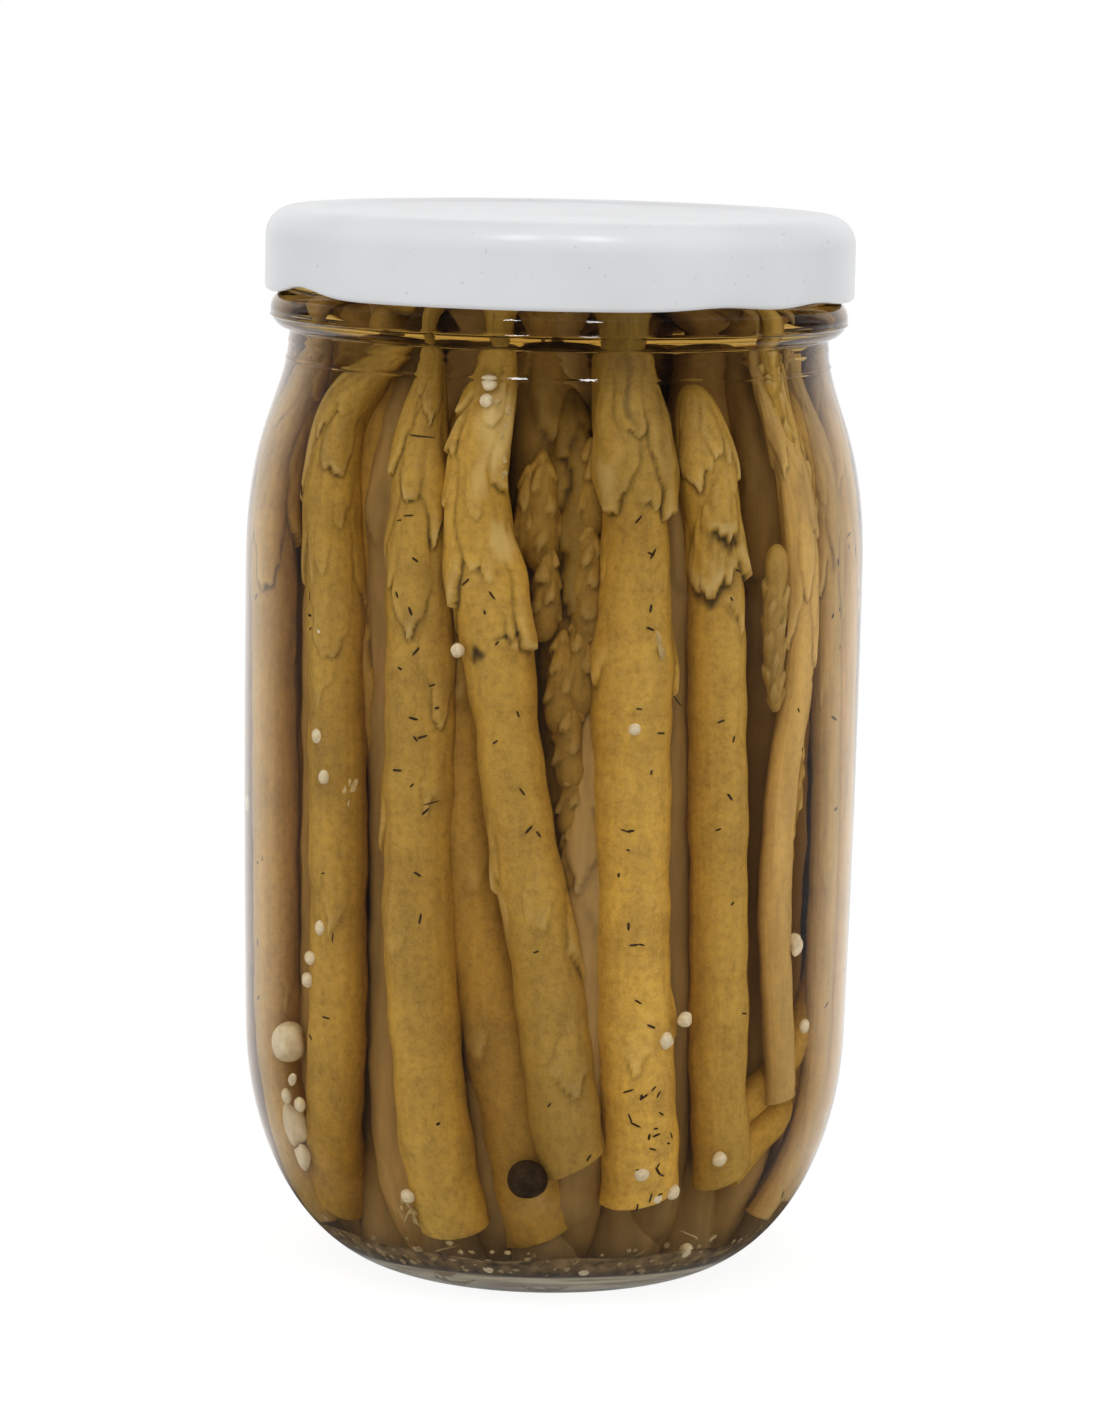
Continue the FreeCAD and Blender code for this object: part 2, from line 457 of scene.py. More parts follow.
def spear_shape(route, girth, seed, head=34.0, point=0.72, bold=1.0, marks=(), around=64,
                steps=(0.42, 1.1), buds=False, swell=(), tone=(1.0,), murk=0.0, worn=(), cut=0.0):
    """Points and faces of one spear along a route from its cut end to its tip, and three layers.

    The girth is even along the stem and closes over the head as (1 - (1 - t)^2)^point, where t
    is the distance from the tip over the head's length. swell lists (distance from the tip,
    factor) pairs that make it stouter or slimmer. Scale leaves, slow waves and fine grooves are
    added to it, and each ring stands square to the route. The layers are painted shade in the
    creases with a painted highlight on the raised leaf edges, a tone from foot to tip that is
    mostly painted light and shade, and a painted murk: how far the colour turns to the dull brown
    that cloudy brine and shade give. worn lists bell-shaped spots, (distance from the tip, angle,
    reach along, reach around, strength), that are pale torn skin where the strength is above 0
    and dark painted shade below it. The cut end is a plane that rises outwards by 0.14 and
    sideways by cut, as shares of its reach.
    """
    rng = np.random.default_rng(seed)
    run = lengths(route)
    total = run[-1]
    head = min(head, total * 0.8)
    at, shut = spear_rows(total, head, (1.6 if buds else 0.07) * girth, steps)
    centre, along, out, side = rings_along(route, run, at)

    down = (total - at)[:, None]
    turn = np.linspace(0, 2 * np.pi, around, endpoint=False)[None, :]
    t = np.clip(down / head, 0, 1)
    body = girth * np.clip(1 - (1 - t) ** 2, 0, 1) ** point
    body = body * (1 + waves(at, rng, (31.0, 17.0, 9.0), 0.06)[:, None])
    if swell:
        body = body * softened_steps(down, swell)
    body = body * (1 + OVAL * np.cos(2 * (turn - rng.uniform(0, np.pi))))
    leaves = head_leaves(head, girth, rng, bold) if bold > 0 else []
    leaves += bud_leaves(total, rng) if buds else []
    leaves += [(base, math.radians(angle), *rest) for base, angle, *rest in marks]
    leaves += stem_leaves(head, total, girth, rng)
    size = np.maximum(body, 0.3)
    ragged = (0.45 if buds else 1.0) * torn_edges(turn, down, rng)
    bent = turn + 0.10 * np.sin(down / 1.9 + 3 * turn + rng.uniform(0, 6))
    relief = np.zeros_like(body)
    for leaf in leaves:
        relief = np.maximum(relief, scale_leaf(down + ragged, bent, size, leaf))
    relief *= np.clip(down / 2.5, 0.15, 1)
    # Painted shade where the relief lies lower than round it, and a painted highlight where it stands
    # higher; the spots add pale torn skin and dark painted shade.
    crease = np.clip((blurred(relief, 2, 2) - relief) / 0.26, -1, 1)
    for base, angle, along_reach, round_reach, strength in worn:
        across = (bent - math.radians(angle) + np.pi) % (2 * np.pi) - np.pi
        spot = ((down + ragged - base) / along_reach) ** 2 + (across * size / round_reach) ** 2
        crease = crease - strength * np.exp(-spot ** 2)
    grooves = sum(np.sin(k * turn + rng.uniform(0, 6) + waves(at, rng, (60.0, 23.0), 1.2)[:, None])
                  for k in (7, 11, 17, 23)) / 4
    radius = (body + relief) * (1 + 0.012 * grooves) * shut[:, None]
    ring = np.cos(turn)[..., None] * out[:, None] + np.sin(turn)[..., None] * side[:, None]
    slant = (0.14 * np.cos(turn) + cut * np.sin(turn)) * np.exp(-(at[:, None] / (1.6 * girth)) ** 2)
    tube = centre[:, None] + radius[..., None] * (ring + slant[..., None] * along[:, None])
    points = np.concatenate([route[:1], tube.reshape(-1, 3), route[-1:]])
    share = np.concatenate([[0.0], np.repeat(at / total, around), [1.0]])
    tones = np.interp(share, np.linspace(0, 1, len(tone)), tone)
    crease_all = np.concatenate([[0.0], crease.ravel(), [0.0]])
    faces = tube_faces(len(at), around)
    return kept_inside(points), faces, crease_all, tones, np.full(len(points), murk)


def merged(shapes):
    """Several shapes as one: the points one after another, the faces renumbered to match."""
    points, faces, layers, first = [], [], [], 0
    for shape in shapes:
        points.append(shape[0])
        faces += [np.asarray(group) + first for group in shape[1]]
        layers.append(shape[2:])
        first += len(shape[0])
    return (np.concatenate(points), faces, *[np.concatenate(layer) for layer in zip(*layers)])


# Spears that lean on the front of the glass: (height, azimuth) stops from cut end to tip.
# marks are scale leaves of their own: (base below the tip, angle, length, half width, height, keenness).
# tone is mostly painted light and shade along each spear, murk a painted dull brown for cloudy brine, and
# spots below 0 are painted shade.
FRONT_SPEARS = {
    "spear_1": dict(
        stops=[(12, -72), (26, -71), (43, -74), (74, -75), (104, -77), (124, -80), (138, -77), (149, -70)],
        girth=5.0, seed=11, head=40, tone=(1.0, 1.2, 1.15, 0.9), murk=0.3),
    "spear_2": dict(
        stops=[(15.5, -65, 4.5), (24, -57, 3.4), (35, -50.5, 1.4), (61, -49), (91, -50), (110, -51),
               (124, -54), (133, -55), (140, -48), (146, -38)],
        girth=4.9, seed=12, head=46, point=0.42, bold=0.4, cut=-0.2, tone=(0.98, 0.88, 0.82), marks=[
            (30, -68, 26, 3.3, 1.4, 0.6), (42, -72, 22, 3.0, 1.1, 0.6), (27, 42, 20, 2.9, 1.3, 0.5),
            (18, 24, 16, 2.4, 1.0, 0.6), (22, -10, 18, 2.4, 0.8, 0.9), (40, 20, 24, 2.6, 0.6, 0.6)],
        worn=[(82, -64, 15.0, 1.3, 1.2), (20, -40, 9.0, 0.9, 0.6)]),
    "spear_4": dict(
        stops=[(13.5, -22.5), (33, -25), (60, -28), (93, -28), (119, -29), (131, -31), (142, -32),
               (152, -33)],
        girth=5.2, seed=14, head=58, point=1.0, bold=0.6, tone=(1.0, 0.9, 0.85, 0.8), marks=[
            (27, -50, 20, 2.4, 1.4, 0.5), (31, 2, 12, 2.7, 1.1, 0.4), (37, 50, 22, 2.4, 1.1, 0.8),
            (20, 34, 16, 1.6, 0.9, 0.7), (84, -78, 16, 2.4, 0.8, 0.9), (16, -12, 14, 1.5, 0.8, 0.6),
            (44, -40, 11, 2.0, 0.6, 0.9)]),
    "spear_5": dict(
        stops=[(24, 7), (34, 4), (49, 1), (64, -3), (79, -7), (94, -10), (108, -13), (120, -16),
               (130, -17), (141, -15), (150, -14)],
        girth=5.2, seed=15, head=44, point=0.5, bold=0.4, cut=0.35, tone=(0.64, 0.90, 0.98, 0.92),
        swell=[(0, 1.0), (30, 0.92), (44, 1.05), (52, 1.0), (60, 0.94), (130, 1.02)], marks=[
            (43, -62, 26, 2.7, 1.6, 0.6), (17, -62, 7, 1.6, 1.1, 0.5), (23, -54, 7, 1.7, 1.2, 0.6),
            (29, -66, 8, 2.0, 1.3, 0.5), (34, -58, 7, 1.5, 0.9, 0.8), (51, 62, 24, 2.8, 1.5, 0.6),
            (100, 76, 17, 2.4, 1.0, 0.9), (86, -74, 13, 2.2, 0.8, 0.9), (31, 10, 24, 2.6, 0.6, 0.6),
            (28, 56, 20, 2.2, 1.4, 0.5), (19, 24, 12, 1.7, 1.0, 0.6), (40, 20, 9, 2.2, 0.6, 0.9)],
        worn=[(18, 40, 6.5, 2.6, 1.5), (34.5, 52, 2.6, 2.4, 1.4), (50, -24, 1.0, 1.6, -1.0),
              (48.5, 28, 0.45, 2.6, -0.8), (26, 20, 2.5, 1.2, 0.8), (88, -66, 5.0, 1.0, 1.0)]),
    "spear_8": dict(
        stops=[(19, 24), (33, 21), (49, 19), (64, 18), (94, 17), (123, 17), (140, 16), (153.5, 16)],
        girth=5.7, seed=18, head=40, point=0.36, bold=0.2, cut=0.2,
        tone=(1.32, 1.24, 1.14, 1.03, 0.72, 0.66),
        swell=[(0, 0.95), (26, 0.95), (36, 0.84), (44, 0.9), (56, 1.06), (80, 1.0), (140, 1.0)], marks=[
            (34, -62, 24, 3.8, 1.7, 0.45), (34, 58, 28, 3.9, 1.9, 0.4), (24, -8, 23, 3.2, 0.8, 0.6),
            (31, -34, 16, 2.6, 0.9, 0.6), (27, 34, 22, 2.6, 1.0, 0.5), (33, 14, 12, 2.6, 0.6, 0.4),
            (58, -84, 13, 2.2, 0.6, 0.9), (60, 80, 16, 2.4, 0.9, 0.9), (112, 82, 12, 2.0, 0.5, 0.9)],
        worn=[(29, -58, 3.5, 1.3, 0.9), (16, -6, 8.0, 0.5, -0.7), (62, 8, 1.2, 3.0, -0.2)]),
    "spear_9": dict(
        stops=[(21, 45), (33, 40), (48, 39), (78, 37), (108, 35), (122, 33.5), (139.5, 33)],
        girth=4.5, seed=19, head=17, point=0.48, bold=0.0, cut=0.25, tone=(0.9, 0.95, 0.95, 0.9),
        swell=[(0, 1.0), (14, 1.02), (22, 0.82), (30, 0.86), (38, 1.0), (120, 1.0)], marks=[
            (16.5, -50, 16, 2.9, 0.9, 0.9), (15, 52, 15, 2.7, 1.0, 0.9), (12.5, -8, 11, 1.8, 0.7, 1.0),
            (13.5, 24, 9, 1.3, 0.6, 1.0), (22.5, 0, 10, 3.3, 1.3, 0.35), (31, -50, 13, 3.2, 1.6, 0.5),
            (29, 58, 17, 2.7, 1.8, 0.55), (28.5, 6, 9, 2.4, 0.8, 0.6), (36, 28, 15, 3.0, 0.45, 0.8),
            (18, 30, 8, 2.0, 0.8, 0.8), (24, 150, 18, 2.6, 1.0, 0.7), (33, -140, 18, 2.6, 1.0, 0.7)],
        worn=[(23.6, 4, 0.9, 2.4, -0.8), (15.6, 66, 1.0, 1.2, -0.6)]),
    "spear_10": dict(
        stops=[(31, 57), (47, 54), (62, 52), (80, 53), (98, 57), (123, 56), (148, 50)],
        girth=2.8, seed=20, head=46, point=0.7, bold=0.8, tone=(1.1, 1.4, 1.4, 1.0), murk=0.5, marks=[
            (24, -55, 20, 1.9, 1.1, 0.8), (34, 40, 26, 1.8, 1.2, 0.8)]),
    "spear_12": dict(
        stops=[(15, 76), (26, 80), (43, 84), (75, 83), (106, 80), (125, 82), (148, 92)],
        girth=5.0, seed=22, head=42, tone=(1.45, 1.5, 1.45, 1.0), murk=0.5),
    "spear_13": dict(
        stops=[(13, 66), (24, 71), (45, 72), (76, 71), (107, 68), (127, 68), (147, 64)],
        girth=3.1, seed=23, head=40, tone=(1.3, 1.2, 1.15, 0.9), murk=0.5),
}


# ---- finishes ---------------------------------------------------------------

WHITE = (1.0, 1.0, 1.0, 1.0)
UNCHANGED = (1.0, 1.0, 1.0)
ROOM_AHEAD = (0.50, 0.93)       # shares of +Y between which reflections turn white
GLASS_AHEAD = (0.35, 0.85)      # the same for what is seen through glass


class Graph:
    """A node tree under construction: makes nodes by type and links them in one line."""

    def __init__(self, tree, output):
        self.nodes = tree.nodes
        self.links = tree.links
        self.nodes.clear()
        self.out = self.add("Output" + output)

    def put(self, socket, value):
        """Sets an input to a value, or links it from a socket."""
        if isinstance(value, bpy.types.NodeSocket):
            self.links.new(value, socket)
        else:
            socket.default_value = value

    def add(self, kind, inputs=None, **settings):
        """New node with its settings and its inputs."""
        node = self.nodes.new("ShaderNode" + kind)
        for key, value in settings.items():
            setattr(node, key, value)
        for key, value in (inputs or {}).items():
            self.put(node.inputs[key], value)
        return node

    def math(self, operation, first, second=0.0):
        """Result of a Math node."""
        return self.add("Math", {0: first, 1: second}, operation=operation).outputs[0]

    def ranged(self, value, low, high, to_low=0.0, to_high=1.0):
        """Value brought from low..high to to_low..to_high and kept between them."""
        return self.add("MapRange", {
            "Value": value, "From Min": low, "From Max": high, "To Min": to_low,
            "To Max": to_high}).outputs[0]

    def part(self, vector, axis):
        """One coordinate of a vector."""
        return self.add("SeparateXYZ", {0: vector}).outputs[axis]

    def stretched(self, vector, scale):
        """Vector times a scale for each axis."""
        return self.add("Mapping", {"Vector": vector, "Scale": scale}).outputs[0]

    def ramp(self, factor, stops):
        """Colour ramp through (position, colour) stops."""
        node = self.add("ValToRGB", {"Fac": factor})
        ramp = node.color_ramp
        while len(ramp.elements) < len(stops):
            ramp.elements.new(0.5)
        for element, (position, colour) in zip(ramp.elements, stops):
            element.position = position
            element.color = (*colour, 1.0)
        return node.outputs["Color"]

    def noise(self, vector, scale, detail=3.0, roughness=0.5):
        """Noise value of the given scale per metre."""
        return self.add("TexNoise", {
            "Vector": vector, "Scale": scale, "Detail": detail, "Roughness": roughness}).outputs["Fac"]

    def bump(self, height, strength, distance):
        """Normal bent by a height."""
        return self.add("Bump", {
            "Height": height, "Strength": strength, "Distance": distance}).outputs[0]

    def layer(self, name, output="Fac"):
        """Value of one of the mesh's layers."""
        return self.add("Attribute", attribute_name=name).outputs[output]

    def blend(self, factor, first, second, mode="MIX"):
        """Mixed colour of two colours."""
        first, second = (value if isinstance(value, bpy.types.NodeSocket) else (*value, 1.0)
                         for value in (first, second))
        node = self.add("Mix", {0: factor, 6: first, 7: second}, data_type="RGBA", blend_type=mode)
        return node.outputs[2]

    def shader(self, kind, inputs=None):
        """A shader node's result."""
        return self.add(kind, inputs).outputs[0]

    def mixed(self, share, first, second):
        """Shader that goes from first to second by share."""
        return self.shader("MixShader", {0: share, 1: first, 2: second})


class Finish(Graph):
    """A material under construction."""

    def __init__(self, name):
        self.material = bpy.data.materials.new(name)
        self.material.use_nodes = True
        super().__init__(self.material.node_tree, "Material")

    def place(self):
        """Position in the piece's own space."""
        return self.add("TexCoord").outputs["Object"]

    def shown(self, shader, volume=None):
        """Gives the finished shader, and a volume where there is one, to the output."""
        self.links.new(shader, self.out.inputs["Surface"])
        if volume is not None:
            self.links.new(volume, self.out.inputs["Volume"])
        return self.material


def clear_body(finish, colour, ior, gloss):
    """Smooth clear shader that lets shadow and diffuse rays pass straight through."""
    body = finish.shader("BsdfPrincipled", {
        "Base Color": colour, "Roughness": 0.0, "IOR": ior, "Transmission Weight": 1.0,
        "Specular IOR Level": gloss})
    path = finish.add("LightPath")
    clear = finish.shader("BsdfTransparent")
    lit = finish.mixed(path.outputs["Is Diffuse Ray"], body, clear)
    return finish.mixed(path.outputs["Is Shadow Ray"], lit, clear)


def glass_finish(settings, name, gloss):
    """Clear soda glass. A gloss of 0.5 is that of a bare face, and 0 suits a face that brine wets."""
    finish = Finish(name)
    return finish.shown(clear_body(finish, (*settings.glass_colour, 1.0), settings.glass_ior, gloss))


def brine_finish(settings):
    """Clear brine that takes blue and green out of the light on its way."""
    finish = Finish("amber_brine")
    absorbed = finish.shader("VolumeAbsorption", {
        "Color": (*settings.brine_colour, 1.0), "Density": settings.brine_density})
    return finish.shown(clear_body(finish, WHITE, settings.brine_ior, 0.0), absorbed)


def lid_finish(settings):
    """White stoving enamel, a little uneven and finely speckled."""
    finish = Finish("white_enamel")
    place = finish.place()
    white = tuple(settings.lid_colour)
    dull = tuple(0.93 * value for value in white)
    colour = finish.ramp(finish.noise(place, scale=40.0, detail=2.0), [(0.35, dull), (0.65, white)])
    speck = finish.noise(place, scale=900.0, detail=2.0)
    dots = finish.ramp(speck, [(0.70, UNCHANGED), (0.78, (0.72, 0.71, 0.69))])
    ripple = finish.noise(place, scale=260.0, detail=2.0)
    return finish.shown(finish.shader("BsdfPrincipled", {
        "Base Color": finish.blend(1.0, colour, dots, "MULTIPLY"),
        "Roughness": settings.lid_roughness, "IOR": 1.5,
        "Normal": finish.bump(ripple, strength=0.05, distance=0.001)}))


def asparagus_finish(settings):
    """Pickled skin: mottled gold and olive with dark creases and pale edges.

    The dark creases are painted shade and the pale edges a painted highlight. The tone layer
    scales it by painted light and shade, and the murk layer dulls what stands behind cloudy brine
    to a painted murky brown.
    """
    finish = Finish("pickled_asparagus")
    place = finish.place()
    drawn, squat = finish.stretched(place, (1.0, 1.0, 0.16)), finish.stretched(place, (0.3, 0.3, 1.0))
    streak = finish.noise(drawn, scale=420.0, detail=4.0, roughness=0.55)
    mottle = finish.noise(place, scale=800.0, detail=4.0, roughness=0.7)
    blotch = finish.noise(place, scale=75.0, detail=3.0, roughness=0.6)
    band = finish.noise(squat, scale=230.0, detail=2.0)
    grain = finish.noise(place, scale=2600.0, detail=2.0, roughness=0.6)

    pale = tuple(settings.pale_colour)
    colour = finish.ramp(streak, [
        (0.28, tuple(settings.shade_colour)), (0.62, tuple(settings.skin_colour))])
    for value, stops in (
            (mottle, [(0.30, (0.72, 0.70, 0.70)), (0.56, UNCHANGED)]),
            (blotch, [(0.30, (0.76, 0.74, 0.76)), (0.52, UNCHANGED)]),
            (band, [(0.33, (0.90, 0.88, 0.88)), (0.48, UNCHANGED)])):
        colour = finish.blend(1.0, colour, finish.ramp(value, stops), "MULTIPLY")
    dusty = finish.ramp(grain, [(0.40, (0.0,) * 3), (0.75, (0.22,) * 3)])
    colour = finish.blend(dusty, colour, pale)

    # Painted shade in the creases and a painted highlight on raised leaf edges, from the relief layer,
    # which also holds pale torn-skin spots.
    crease = finish.layer("crease")
    raised = finish.math("MAXIMUM", finish.math("MULTIPLY", crease, -1.0), 0.0)
    colour = finish.blend(finish.math("MULTIPLY", raised, 0.55), colour, pale)
    broken = finish.ranged(blotch, 0.35, 0.6, 0.5, 1.0)
    sunk = finish.math("MULTIPLY", finish.math("MAXIMUM", crease, 0.0), broken)
    colour = finish.blend(sunk, colour, tuple(settings.crease_colour))

    # Painted murk: spears deep in cloudy brine turn to a dull brown in place of the haze the brine would
    # give.
    murk = tuple(settings.murk_colour)
    cloud = finish.ramp(streak, [(0.30, tuple(0.7 * value for value in murk)), (0.65, murk)])
    colour = finish.blend(finish.layer("murk"), colour, cloud)
    # Painted light and shade: the tone layer brightens or darkens each spear along its length.
    colour = finish.blend(1.0, colour, finish.layer("tone", "Color"), "MULTIPLY")

    lumps = finish.math("ADD", finish.math("MULTIPLY", streak, 0.5), finish.math("MULTIPLY", mottle, 0.5))
    return finish.shown(finish.shader("BsdfPrincipled", {
        "Base Color": colour, "Roughness": 0.5, "IOR": 1.38, "Specular IOR Level": 0.3,
        "Normal": finish.bump(lumps, strength=0.4, distance=0.0006)}))


def plain_finish(name, colour, dark, scale, roughness, bump_strength=0.3, gloss=0.2):
    """Small food piece: two tones by noise, with a little relief."""
    finish = Finish(name)
    spot = finish.noise(finish.place(), scale, detail=3.0, roughness=0.6)
    return finish.shown(finish.shader("BsdfPrincipled", {
        "Base Color": finish.ramp(spot, [(0.35, dark), (0.62, colour)]),
        "Roughness": roughness, "IOR": 1.4, "Specular IOR Level": gloss,
        "Normal": finish.bump(spot, bump_strength, distance=0.0004)}))


def silt_finish():
    """Brown silt with a painted glow along its lowest edge, where the thick base gathers light."""
    finish = Finish("settled_silt")
    place = finish.place()
    height = finish.part(place, "Z")
    spot = finish.noise(place, scale=520.0, detail=3.0, roughness=0.6)
    brown = finish.ramp(spot, [(0.35, (0.08, 0.045, 0.015)), (0.62, (0.27, 0.165, 0.065))])
    # Painted glow: pale streaks along the lowest edge stand in for the light that the thick glass base
    # gathers.
    band = finish.noise(finish.stretched(place, (0.12, 0.12, 3.0)), scale=700.0, detail=2.0)
    pale = finish.ramp(band, [(0.38, (0.45, 0.37, 0.25)), (0.60, (0.95, 0.84, 0.62))])
    colour = finish.blend(finish.ranged(height, 0.0060, 0.0064), pale, brown)
    # Painted lines: a dark line and a fainter one across that edge, for lines in the glass base's
    # reflections.
    line = finish.ramp(finish.ranged(height, 0.0055, 0.0080), [
        (0.18, UNCHANGED), (0.28, (0.25,) * 3), (0.42, (0.6,) * 3), (0.85, UNCHANGED)])
    return finish.shown(finish.shader("BsdfPrincipled", {
        "Base Color": finish.blend(1.0, colour, line, "MULTIPLY"), "Roughness": 0.7,
        "Specular IOR Level": 0.1}))


def floor_finish():
    """White sweep that keeps the jar's shadow.

    Reflections show a painted white glow only behind the jar, by the direction of a place from a
    point in front of it, and a dark floor in front. Glass shows the painted glow further back, and
    a painted glow of 0.35 under the jar that stands for light there.
    """
    finish = Finish("pale_floor")
    path = finish.add("LightPath")
    place = finish.place()
    lit = finish.shader("BsdfDiffuse", {"Color": (0.84, 0.84, 0.84, 1.0)})
    dark = finish.shader("BsdfDiffuse", {"Color": (0.05, 0.05, 0.05, 1.0)})
    faint = finish.shader("BsdfDiffuse", {"Color": (0.20, 0.20, 0.20, 1.0)})
    glow = finish.shader("Emission", {"Color": WHITE, "Strength": 0.88})
    bright = finish.shader("AddShader", {0: faint, 1: glow})

    away = finish.add("VectorMath", {0: place}, operation="LENGTH").outputs["Value"]
    moved = finish.add("Mapping", {"Vector": place, "Location": (0.0, 0.06, 0.0)}).outputs[0]
    heading = finish.add("VectorMath", {0: moved}, operation="NORMALIZE").outputs["Vector"]
    ahead = finish.part(heading, "Y")
    # Painted reflection: these shares set by place how much glow reflections and glass see, not the light
    # that falls there; near is a faint glow round the foot, under a painted glow beneath the jar.
    near = finish.ranged(away, 0.029, 0.034, 0.25, 0.03)
    far = finish.ranged(away, 0.048, 0.075)
    mirrored = finish.math("MULTIPLY", finish.ranged(ahead, *ROOM_AHEAD), finish.math("MAXIMUM", near, far))
    beyond = finish.ranged(finish.part(place, "Y"), 0.03, 0.12)
    under = finish.ranged(away, 0.020, 0.034, 0.35, 0.0)
    back = finish.math("MULTIPLY", finish.ranged(ahead, *GLASS_AHEAD), beyond)
    through = finish.math("MAXIMUM", back, under)

    bent = path.outputs["Is Transmission Ray"]
    share = finish.add("Mix", {0: bent, 2: mirrored, 3: through}).outputs[0]
    indirect = finish.math("MAXIMUM", path.outputs["Is Glossy Ray"], bent)
    plain = finish.mixed(indirect, lit, finish.mixed(share, dark, bright))
    return finish.shown(finish.mixed(path.outputs["Is Camera Ray"], plain, bright))


# ---- settings ---------------------------------------------------------------

def colour_property(name, description, default):
    """Colour that the sidebar shows as a swatch."""
    return bpy.props.FloatVectorProperty(
        name=name, description=description, subtype="COLOR", size=3, default=default, min=0.0, max=1.0)


def length_property(name, description, default):
    """Length in metres that the sidebar shows in the scene's unit."""
    return bpy.props.FloatProperty(
        name=name, description=description, default=default, min=0.0, unit="LENGTH", subtype="DISTANCE",
        precision=5)


class GlassSettings(bpy.types.PropertyGroup):
    """Sizes and finish of the glass jar and its lid."""
    seam_height: length_property("Seam height", "Height of the moulding seam under the bead", 0.1406)
    seam_rise: length_property("Seam rise", "How far a moulding seam stands out", 0.00017)
    seam_width: length_property("Seam width", "Half width of a moulding seam", 0.00026)
    glass_colour: colour_property("Glass", "Colour of the glass", (1.0, 1.0, 1.0))
    glass_ior: bpy.props.FloatProperty(
        name="Glass IOR", description="How strongly the glass bends light", default=1.5, min=1.0, max=2.0)
    lug_lift: length_property("Lug lift", "Rise of the lid's lower edge at a lug", 0.0009)
    lid_colour: colour_property("Lid", "Colour of the lid's enamel", (0.775, 0.785, 0.80))
    lid_roughness: bpy.props.FloatProperty(
        name="Lid roughness", description="Roughness of the enamel", default=0.28, min=0.0, max=1.0)


class FillingSettings(bpy.types.PropertyGroup):
    """Colours and numbers of what fills the jar."""
    brine_colour: colour_property("Brine", "Colour that the brine leaves in the light", (0.79, 0.60, 0.044))
    brine_density: bpy.props.FloatProperty(
        name="Brine density", description="How much the brine absorbs per metre", default=42.0, min=0.0)
    brine_ior: bpy.props.FloatProperty(
        name="Brine IOR", description="How strongly the brine bends light", default=1.34, min=1.0, max=2.0)
    skin_colour: colour_property("Skin", "Lit colour of the spears", (0.60, 0.345, 0.050))
    shade_colour: colour_property("Skin streaks", "Darker streaks of the spears", (0.48, 0.272, 0.038))
    # Skin edges also colours the painted highlight on raised leaf edges, Creases is the painted shade
    # between scale leaves, and Murk a painted dull brown for spears deep in cloudy brine.
    pale_colour: colour_property("Skin edges", "Pale edges and grain of the spears", (0.70, 0.50, 0.19))
    crease_colour: colour_property("Creases", "Colour between the scale leaves", (0.05, 0.026, 0.006))
    murk_colour: colour_property("Murk", "Colour of spears deep in cloudy brine", (0.46, 0.305, 0.14))
    back_spears: bpy.props.IntProperty(
        name="Back spears", description="Spears round the back of the glass", default=10, min=0, max=16)
    seed_size: length_property("Seed size", "Diameter of a mustard seed", 0.0023)
    loose_seeds: bpy.props.IntProperty(
        name="Loose seeds", description="Mustard seeds round the back", default=26, min=0, max=200)


class StageSettings(bpy.types.PropertyGroup):
    """Camera, lamps and floor."""
    lens: bpy.props.FloatProperty(
        name="Lens", description="Focal length on a 36 mm frame", default=130.05, min=10.0, unit="CAMERA")
    distance: length_property("Distance", "Camera to the jar's axis", 0.7884)
    height: length_property("Camera height", "Camera above the floor", 0.1979)
    pitch: bpy.props.FloatProperty(
        name="Pitch", description="Camera tilt below level", default=math.radians(8.07), subtype="ANGLE")
    roll: bpy.props.FloatProperty(
        name="Roll", description="Camera turn about its view", default=math.radians(1.17), subtype="ANGLE")
    room_strength: bpy.props.FloatProperty(
        name="Room light", description="Brightness of the white tent", default=0.69, min=0.0)
    lamp_power: bpy.props.FloatProperty(
        name="Lamp power", description="Power of each top lamp", default=0.7, min=0.0, unit="POWER")
    panel_power: bpy.props.FloatProperty(
        name="Panel power", description="Power of each side panel", default=1.2, min=0.0, unit="POWER")


# ---- operators --------------------------------------------------------------

def second_material(piece, rows, around):
    """Gives those rows of a turned piece its second material."""
    piece.data.polygons.foreach_set("material_index", np.repeat(rows, around).astype(np.int32))


class PICKLE_OT_glass(bpy.types.Operator):
    """Make the glass jar with its bead and moulding seams"""
    bl_idname = "pickle.glass"
    bl_label = "Glass jar"

    def execute(self, context):
        settings = context.scene.pickle_glass
        outside = outside_run(
            settings.seam_height / MM, settings.seam_rise / MM, settings.seam_width / MM)
        rim_middle = (BORE_RADIUS + RIM_ROUND_INNER, JAR_HEIGHT - RIM_ROUND_INNER)
        rim = arc(rim_middle, RIM_ROUND_INNER, 90, 180)
        inside = np.concatenate([INSIDE[::-1], [(0.0, FLOOR_Z)]])
        profile = closed_run(joined(outside[:-1], rim, inside), 1.3, 0.09)
        around = 180
        points, faces = turned(profile, around)
        bare = glass_finish(settings, "clear_glass", 0.5)
        piece = make_piece("jar_glass", points, faces, bare, "glass")
        piece.data.materials.append(glass_finish(settings, "wetted_glass", 0.0))
        below_rim = np.arange(len(profile) - 1) >= np.argmax(profile[:, 1]) + 4
        second_material(piece, below_rim, around)
        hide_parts("glass_jar")
        return {"FINISHED"}


